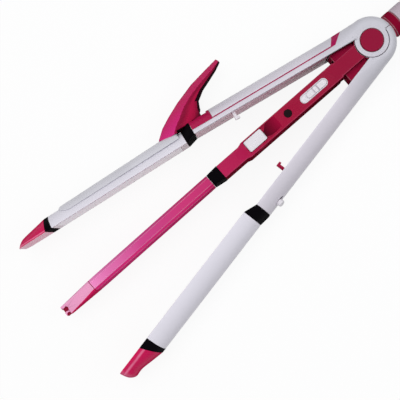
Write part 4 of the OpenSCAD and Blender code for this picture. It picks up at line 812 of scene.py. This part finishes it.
def tip_section(depth, half, ridge, inset):
    """Half a section, from the flat face's corner over the ridge to the crown, as rows of
    y, z and how much a point shows the ridge."""
    r = (depth * depth + half * half) / (2 * depth)
    ridge = min(ridge, depth * 0.5)
    wide = min(RIDGE_HALF, ridge * 0.6)
    low, high = ridge - wide, ridge + wide
    section = [(0.0, half - inset, 0), (low * 0.6, half - inset * 0.75, 0)]
    # Between the flat side and the round back, points lie under the back by less and less
    for y, under, shown in ((low, inset * 0.4, 0.1), ((low + ridge) / 2, inset * 0.15, 0.7),
                            (ridge, 0.03, 1), ((ridge + high) / 2, 0, 0.5), (high, 0, 0)):
        section.append((y, math.sqrt(max(0.0, r * r - (y - depth + r) ** 2)) - under, shown))
    start = math.acos(max(-1, min(1, (high - depth + r) / r)))
    for i in range(1, SECTION_ARC):
        a = start * (1 - i / SECTION_ARC)
        section.append((depth - r + r * math.cos(a), r * math.sin(a), 0))
    return section


def lofted_tip(name, rows, ring_inner, ring_outer, ridge, inset, node, place):
    """A tip from rows of distance along it, depth and half width. It starts slanted, from
    ring_inner on the flat face to ring_outer on the back."""
    rows = smooth_rows(rows, TIP_STEPS)
    (first, depth0, _), last = rows[0], rows[-1][0]
    bm = bmesh.new()
    layer = bm.verts.layers.float.new("edge")
    rings = []
    for x, depth, half in rows:
        side = tip_section(depth, half, ridge, inset * min(1, half / 10))
        ring = side + [(depth, 0.0, 0)] + [(y, -z, m) for y, z, m in reversed(side)]
        ring += [(0.0, -side[0][1] * k, 0) for k in (0.5, 0.0, -0.5)]
        go = (x - first) / (last - first)
        # The edge attribute paints a highlight along the ridge and over the tip's last part
        end_shine = END_SHINE * max(0.0, (go - END_FROM) / (1 - END_FROM))
        rings.append([])
        for y, z, shown in ring:
            start = ring_outer + (ring_inner - ring_outer) * (1 - y / depth0)
            vert = bm.verts.new((BAR_END_X + start + (last - start) * go, y, z))
            vert[layer] = max(RIDGE_SHINE * shown, end_shine)
            rings[-1].append(vert)
    for one, two in zip(rings, rings[1:]):
        for k in range(len(one)):
            bm.faces.new((one[k - 1], one[k], two[k], two[k - 1]))
    for ring in (rings[0], rings[-1]):
        bm.faces.new(ring)
    return placed(from_bmesh(name, bm), place, node, TIP_CRISP_DEG)


HOOK_TIP_ROWS = (
    (2.9, 12.7, 14.9), (11.8, 10.4, 14.2), (16.8, 9.1, 13.9), (20.4, 8.8, 13.6),
    (23.5, 9.0, 13.2), (25.4, 8.2, 12.6), (27.1, 6.6, 11.2), (27.8, 4.9, 9.8), (28.0, 3.4, 8.2))
CLAMP_TIP_ROWS = (
    (2.9, 8.8, 13.75), (11.4, 7.0, 13.4), (17.9, 5.7, 13.0), (21.0, 4.8, 12.6),
    (23.2, 3.4, 11.4), (24.2, 2.0, 10.0), (24.4, 1.0, 8.6))
hook_tip = lofted_tip("hook_arm_beak", HOOK_TIP_ROWS, ring_inner=7.5, ring_outer=2.9, ridge=2.9,
                      inset=0.9, node="hook_arm_tip", place=HOOK_PLATE)
clamp_tip = lofted_tip("clamp_arm_bill", CLAMP_TIP_ROWS, ring_inner=4.7, ring_outer=2.9,
                       ridge=0.9, inset=0.5, node="clamp_arm_tip", place=CLAMP_PLATE)
# The clamp tip's flat face takes the pale painted reflection
flat_look = (CLAMP_PLATE.to_3x3() @ Vector((0, -1, 0))).normalized()
refinish(clamp_tip, [TIP, TIP_PAINTED_REFLECTION], lambda face: int(face.normal.dot(flat_look) > FLAT_LOOK))
print("tips", [(o.name, len(o.data.polygons)) for o in (hook_tip, clamp_tip)])

# %% [markdown]
# The finger lever is one moulding with a ridge that runs from its foot to its end. Its finishes
# paint light and shade: a lit facet before the ridge, painted shade behind it, and a painted shadow
# on the underside that looks back to the arm. It starts as a fine copy of the CAD lever, so its
# bores and its seat on the handle stay true, and the copy is then sculpted: each point is moved
# across the lever's width, to the ridged section.
# %% Sculpted lever
LEVER_PIN = (114.5, 11.0)
KNUCKLE_CLEAR, MIDDLE_CLEAR = 4.2, 0.5
LEVER_GRAIN, LEVER_CUTS = 0.9, 5
FRONT_SHARE, BACK_DROP, BACK_ROOM = 0.42, 0.24, 0.3
OVAL_POWER, OVAL_LEAST = 2.5, 0.2
UNDER_LOOK, LEVER_CRISP_DEG = 0.45, 50
# In mm from the pin: back x, y, front x, y, and the ridge as a share from front to back
LEVER_ROWS = ((-4.5, 1.4, 29, -0.6, 0.36), (-5, 5.4, 26.9, 3.6, 0.42),
              (-5.3, 8.4, 21.5, 8.6, 0.50), (-6.9, 12.6, 14.9, 12.7, 0.54),
              (-12.6, 17.1, 5.9, 17.6, 0.60), (-19.5, 20.5, -7.5, 23.4, 0.66),
              (-25.7, 23.7, -18.5, 26.6, 0.72), (-30, 26.6, -28.7, 29.4, 0.76))
LEVER_FINE = smooth_rows(LEVER_ROWS, 70)


def lever_place(x, y):
    """Where a point lies from front to back on the nearest row, and where the ridge is there."""
    nearest, found = math.inf, None
    for bx, by, fx, fy, ridge in LEVER_FINE:
        ax, ay = bx - fx, by - fy
        size = ax * ax + ay * ay
        off = abs((x - fx) * ay - (y - fy) * ax) / math.sqrt(size)
        if off < nearest:
            nearest, found = off, (((x - fx) * ax + (y - fy) * ay) / size, ridge)
    return found


def ridged(s, ridge):
    """The ridged section's half width as a share, from front to back."""
    if s <= ridge:
        return FRONT_SHARE + (1 - FRONT_SHARE) * (max(s, 0) / ridge) ** 0.85
    fall = min(1.0, (s - ridge) / BACK_ROOM)
    return 1.0 - BACK_DROP * fall * fall * (3 - 2 * fall)


bm = merged("clamp_lever")
for _ in range(LEVER_CUTS):
    too_long = [e for e in bm.edges if e.calc_length() > LEVER_GRAIN * MM]
    if not too_long:
        break
    bmesh.ops.subdivide_edges(bm, edges=too_long, cuts=1)
    bmesh.ops.triangulate(bm, faces=[f for f in bm.faces if len(f.verts) > 3])
from_pin = Matrix.Scale(MM, 4) @ CLAMP_ARM @ shift(*LEVER_PIN)
to_pin = from_pin.inverted()
across = bm.verts.layers.float.new("across")
for v in bm.verts:
    p = to_pin @ v.co
    s, ridge = lever_place(p.x, p.y)
    # How far a point lies behind the ridge steers the lever's painted shade
    v[across] = s - ridge
    if math.hypot(p.x, p.y) < KNUCKLE_CLEAR or abs(p.z) < MIDDLE_CLEAR:
        continue
    # The CAD lever's section is an oval, so its width at s is taken out of the new one
    oval = max(0.0, 1 - abs(2 * min(max(s, 0), 1) - 1) ** OVAL_POWER) ** (1 / OVAL_POWER)
    if oval > OVAL_LEAST:
        v.co = from_pin @ Vector((p.x, p.y, p.z * min(1.0, ridged(s, ridge) / oval)))
lever = smooth_but_crisp(from_bmesh("finger_lever", bm), LEVER_CRISP_DEG)
stands_for(lever, "clamp_lever")
across_of = lever.data.attributes["across"].data
under = (CLAMP_ARM.to_3x3() @ Vector((-0.75, -0.66, 0))).normalized()


def lever_facet(face):
    """Painted light before the ridge, painted shade behind it, painted shadow where the face looks
    back to the arm.
    """
    if face.normal.dot(under) > UNDER_LOOK and abs(face.normal.z) < 0.6:
        return 2
    return int(sum(across_of[i].value for i in face.vertices) >= 0)


print("lever faces", len(lever.data.polygons), "of them not before the ridge",
      refinish(lever, [LEVER_LIT_FACET, LEVER_PAINTED_SHADE, LEVER_PAINTED_SHADOW], lever_facet))

# %% [markdown]
# Screws, rivets, springs, leads and the rolled tongue are the same few shapes with other
# numbers, so each kind is one Geometry Nodes tree with named sizes. These helpers start and
# end such a tree, and set its inputs by identifier.
# %% Trees with named sizes


def new_tree(name, numbers, more=()):
    """A tree whose inputs are a geometry, named numbers and a finish."""
    inputs = [("Geometry", "Geometry"), *((label, "Float") for label in numbers), *more,
              ("Finish", "Material")]
    return new_group("GeometryNodeTree", name, inputs, [("Geometry", "Geometry")])


def finish_tree(tree, geometry, finish):
    """Ends a tree in Realize Instances and Set Material."""
    real = add(tree, "RealizeInstances", {"Geometry": geometry})
    painted = add(tree, "SetMaterial", {"Geometry": real, "Material": finish})
    add(tree, "NodeGroupOutput", {"Geometry": painted})


def with_tree(obj, tree, **sizes):
    """Puts a tree on an object, and sets its inputs by identifier."""
    mod = obj.modifiers.new(tree.name, "NODES")
    mod.node_group = tree
    for item in tree.interface.items_tree:
        key = item.name.replace(" ", "_").lower()
        if item.in_out == "INPUT" and key in sizes:
            mod[item.identifier] = sizes[key]
    return obj


def grown(name, points, tree, place, node, crisp_deg=SMOOTH_DEG, **sizes):
    """A piece that a tree grows on points in mm, in place of a node."""
    mesh = bpy.data.meshes.new(name)
    mesh.from_pydata(points, [], [])
    obj = with_tree(linked(name, mesh), tree, finish=FINISH_OF[node][0], **sizes)
    return placed(baked(obj), place, node, crisp_deg)


def lifted(tree, geometry, z):
    """A shape of a tree, moved along Z."""
    up = add(tree, "ShaderNodeCombineXYZ", {"Z": z})
    return add(tree, "Transform", {"Geometry": geometry, "Translation": up})


print("every tree ends in Realize Instances and Set Material")

# %% [markdown]
# A cross-head screw and a rivet are both a shaft with a head whose rim is chamfered. The
# screw has a cross pressed into its head, and the rivet has none.
# %% Headed pins on points
SHAFT_SIDES, HEAD_SIDES = 24, 40
CHAMFERED_SHARE, CROSS_REACH = 0.78, 1.1
headed, inp = new_tree("headed_pin", (
    "Head radius", "Head height", "Shaft radius", "Shaft length", "Cross width", "Cross depth"),
    [("Facing", "Vector")])
half_head = inp["Head height"] * 0.5
shaft = add(headed, "MeshCylinder", {
    "Vertices": SHAFT_SIDES, "Radius": inp["Shaft radius"], "Depth": inp["Shaft length"]})
low = add(headed, "MeshCylinder", {
    "Vertices": HEAD_SIDES, "Radius": inp["Head radius"], "Depth": half_head})
cap = add(headed, "MeshCone", {
    "Vertices": HEAD_SIDES, "Radius Top": inp["Head radius"] * CHAMFERED_SHARE,
    "Radius Bottom": inp["Head radius"], "Depth": half_head})
bars = []
reach = inp["Head radius"] * CROSS_REACH
for x, y in ((reach, inp["Cross width"]), (inp["Cross width"], reach)):
    size = add(headed, "ShaderNodeCombineXYZ", {"X": x, "Y": y, "Z": inp["Cross depth"] * 2.0})
    bars.append(lifted(headed, add(headed, "MeshCube", {"Size": size}),
                       inp["Head height"]))
head = add(headed, "MeshBoolean", {
    "Mesh 2": [lifted(headed, low, half_head * 0.5), lifted(headed, cap, half_head)]},
    operation="UNION", solver="EXACT")
crossed = add(headed, "MeshBoolean", {"Mesh 1": head, "Mesh 2": bars},
              operation="DIFFERENCE", solver="EXACT")
pin = add(headed, "JoinGeometry", {
    "Geometry": [crossed, lifted(headed, shaft, inp["Shaft length"] * -0.5)]})
spots = add(headed, "MeshToPoints", {"Mesh": inp["Geometry"]})
pins = add(headed, "InstanceOnPoints", {
    "Points": spots, "Instance": pin,
    "Rotation": add(headed, "FunctionNodeEulerToRotation", {"Euler": inp["Facing"]})})
finish_tree(headed, pins, inp["Finish"])

SCREW = dict(head_radius=1.9, head_height=0.9, shaft_radius=1.1, cross_width=0.55,
             cross_depth=0.5)
FACE_DOWN, FACE_OUT = (math.pi, 0.0, 0.0), (math.pi / 2, 0.0, 0.0)
ARM_SCREWS_MM = [(x, 6.4, 0) for x in (36, 66, 100)]
for node, spots, facing, place, length in (
        ("middle_screws", [(x, 0, -12.2) for x in (30.5, 78)], FACE_DOWN, LIFT, 21.0),
        ("clamp_arm_screws", ARM_SCREWS_MM, FACE_OUT, CLAMP_ARM, 6.1),
        ("hook_arm_screws", ARM_SCREWS_MM, FACE_OUT, HOOK_ARM, 6.1)):
    screws = grown(node + "_crossed", spots, headed, place, node, shaft_length=length,
                   facing=facing, **SCREW)
    print(node, len(screws.data.polygons), "faces")

# %% [markdown]
# Springs and leads are wires along a poly curve. A fillet rounds its corners, because drawn
# wire and soft insulation can't turn sharply, and a circle is swept along it with closed ends.
# %% Wires along paths
WIRE_SIDES, FILLET_POINTS, COIL_POINTS = 14, 4, 28
wire, inp = new_tree("swept_wire", ("Wire radius", "Bend radius"), [("Sides", "Int")])
bend = add(wire, "FilletCurve", {
    "Curve": inp["Geometry"], "Count": FILLET_POINTS, "Limit Radius": True,
    "Radius": inp["Bend radius"]}, mode="POLY")
ring = add(wire, "CurvePrimitiveCircle", {"Resolution": inp["Sides"],
                                          "Radius": inp["Wire radius"]})
swept = add(wire, "CurveToMesh", {"Curve": bend, "Profile Curve": ring, "Fill Caps": True})
finish_tree(wire, swept, inp["Finish"])


def wires(node, paths, radius, bend_radius, place):
    """Wires of one radius along paths of points in mm, in place of a node."""
    curve = bpy.data.curves.new(node + "_paths", "CURVE")
    curve.dimensions = "3D"
    for points in paths:
        spline = curve.splines.new("POLY")
        spline.points.add(len(points) - 1)
        spline.points.foreach_set("co", [v for p in points for v in (*p, 1.0)])
    source = with_tree(linked(node + "_paths", curve), wire, wire_radius=radius,
                       bend_radius=bend_radius, sides=WIRE_SIDES, finish=FINISH_OF[node][0])
    piece = linked(node + "_wire", evaluated(source))
    bpy.data.objects.remove(source)
    return placed(piece, place, node)


def coil(z, radius, start_deg, turn_deg, rise):
    """Points of a helix round Z."""
    count = int(abs(turn_deg) / 360 * COIL_POINTS)
    angles = [math.radians(start_deg + turn_deg * i / count) for i in range(count + 1)]
    return [(radius * math.cos(a), radius * math.sin(a), z + rise * i / count)
            for i, a in enumerate(angles)]


LEAD_R, LEAD_BEND, ARM_LEAD_BEND = 0.5, 1.5, 2.0
LEAD_Z, BEHIND_Y, FRONT_Y, BAR_Y = 2.75, 2.85, 3.1, 1.6
HEATER_X = 140.05
leads = []
for s in (1, -1):
    leads.append([(72.3, s * FRONT_Y, LEAD_Z), (94, s * FRONT_Y, LEAD_Z),
                  (99, s * BAR_Y, LEAD_Z), (BAR_X, s * BAR_Y, LEAD_Z),
                  (HEATER_X, s * BAR_Y - 0.35, LEAD_Z)])
    leads.append([(x, s * BEHIND_Y, LEAD_Z) for x in (36.3, 24.6, 9)])
wires("middle_leads", leads, LEAD_R, LEAD_BEND, LIFT)
for node, place, end_y in (("hook_arm_leads", HOOK_ARM, 4.7), ("clamp_arm_leads", CLAMP_ARM, 5.4)):
    wires(node, [[(27.8, 7.5, z), (118.4, 7.5, z), (124.2, 7.5, z + 1.2),
                  (131.4, end_y + 0.8, z + 2.4), (HEATER_X, end_y, z + 3.0)]
                 for z in (-8.4, -7.3)], LEAD_R, ARM_LEAD_BEND, place)
wires("clamp_spring", [[(4.2, -3.45, -2.2), *coil(-2.2, 2.0, -60, -1920, 4.4), (-2, 2, 2.2)]],
      0.35, 0.0, CLAMP_ARM @ shift(*LEVER_PIN))
wires("arm_springs", [[(16, -5.8, z), *coil(z, 5.8, -90, -1260, 4.55), (16, 5.8, z + 4.55)]
                      for z in (-5.35, 0.8)], 0.5, 0.0, LIFT)

# %% [markdown]
# The curling tongue is a strip of thin metal, rolled to the barrel's curve, with its corners
# rounded and its rim turned in a little so that no hair catches. A flat grid is narrowed
# towards its rounded end and bent round the roll axis, once for the outer skin and once for
# the inner one, and the two meet in a rounded rim. The rivets that hold it to the lever sit
# on it.
# %% Rolled tongue and its rivets
OUTER_SHARE, CURL_MM = 0.8, 6.0
POINTS_ALONG, POINTS_ACROSS, WELD_MM = 120, 61, 0.0005
TONGUE_SIZES = ("Length", "Half width", "Corner", "Roll radius", "Sheet", "Rim width",
                "Rim dip", "Dip per length")
strip, inp = new_tree("rolled_tongue", TONGUE_SIZES)
length, half_width, corner, roll, sheet, rim_width, rim_dip, dip_per_length = (
    inp[label] for label in TONGUE_SIZES)
grid = add(strip, "MeshGrid", {"Vertices X": POINTS_ALONG, "Vertices Y": POINTS_ACROSS,
                               "Size X": math.pi, "Size Y": math.pi})
flat = add(strip, "ShaderNodeSeparateXYZ", {"Vector": add(strip, "InputPosition", {})}).outputs
# Sines crowd the points towards the rim, where the sheet's edge is round
x = length * (Value(strip, flat["X"]).sine() * 0.5 + 0.5)
past_corner = (x - (length - corner)).at_least(0.0)
drop = corner - (corner * corner - past_corner * past_corner).at_least(0.0).root()
half = half_width - drop
z = Value(strip, flat["Y"]).sine() * half
side_room = half - abs(z)
room = side_room.at_most(x.at_most(length - x)).at_least(0.0)
near_rim = (1.0 - room / rim_width).at_least(0.0)
curl = 1.0 - (side_room / CURL_MM).at_most(1.0)
turned_in = (rim_dip + dip_per_length * (length - x)) * (curl * curl)
arc = (roll * roll - z * z).root() - roll - turned_in
skins = []
for share, base in ((-OUTER_SHARE, 0.0), (1 - OUTER_SHARE, -1.0)):
    y = arc + sheet * (near_rim * near_rim * share + base)
    bent = add(strip, "ShaderNodeCombineXYZ", {"X": x, "Y": y, "Z": z})
    skins.append(add(strip, "SetPosition", {"Geometry": grid, "Position": bent}))
inner = add(strip, "FlipFaces", {"Mesh": skins[1]})
both = add(strip, "JoinGeometry", {"Geometry": [skins[0], inner]})
welded = add(strip, "MergeByDistance", {"Geometry": both, "Distance": WELD_MM})
finish_tree(strip, welded, inp["Finish"])

TONGUE_FRONT = (216.0, 10.05)
TONGUE_MM = dict(length=86.6, half_width=11.15, corner=8.0, roll_radius=16.35, sheet=0.9,
                 rim_width=2.0, rim_dip=0.5, dip_per_length=0.008)
RIVET = dict(head_radius=1.7, head_height=0.35, shaft_radius=1.0, shaft_length=3.05,
             cross_width=0.3, cross_depth=0.0, facing=FACE_OUT)
TONGUE_PLACE = (CLAMP_PLATE @ shift(*TONGUE_FRONT) @ turn(-TONGUE_LEAN_DEG)
                @ shift(-TONGUE_MM["length"], 0))
tongue = grown("rolled_tongue", [], strip, TONGUE_PLACE, "clamp_tongue", crisp_deg=50,
               **TONGUE_MM)
rivets = grown("tongue_rivets", [(x, -1.05, 0) for x in (4.1, 9.1)], headed, TONGUE_PLACE,
               "clamp_rivets", **RIVET)
print("tongue", len(tongue.data.polygons), "faces, rivets", len(rivets.data.polygons))

# %% [markdown]
# The middle tip's end is forked by two notches, and the photograph shows a floor in each of them, a
# little below the tip's face. Two small webs close them halfway, in the caps' deeper magenta, which
# paints the shade at the notches' floors.
# %% Webs in the fork
BAR_LEAN_DEG, BAR_Y_OFF = 0.5, -0.35
BAR_PLACE = LIFT @ shift(BAR_X, BAR_Y_OFF) @ turn(BAR_LEAN_DEG) @ shift(-BAR_X, 0)
TIP_END_X, WEB_DEPTH = BAR_END_X + 25.6, 2.2
# Each web from and to: mm before the tip's end, and mm across
WEBS = ((-4.6, -0.35, -2.4, 1.2), (-3.8, -0.5, 1.0, 3.6))

tip = PIECES["middle_tip"].data
bm = bmesh.new()
bm.from_mesh(tip)
before = len(bm.faces)
for x0, x1, y0, y1 in WEBS:
    box = (Matrix.Scale(MM, 4) @ BAR_PLACE @ shift(TIP_END_X + (x0 + x1) / 2, (y0 + y1) / 2)
           @ Matrix.Diagonal((x1 - x0, y1 - y0, WEB_DEPTH, 1)))
    bmesh.ops.create_cube(bm, size=1.0, matrix=box)
bm.faces.ensure_lookup_table()
# The webs take the caps' deeper magenta as painted shade in the notches
for face in bm.faces[before:]:
    face.material_index = 2
bm.to_mesh(tip)
bm.free()
tip.materials.append(CAP_MAGENTA)
print("fork webs", len(tip.polygons) - before, "faces")
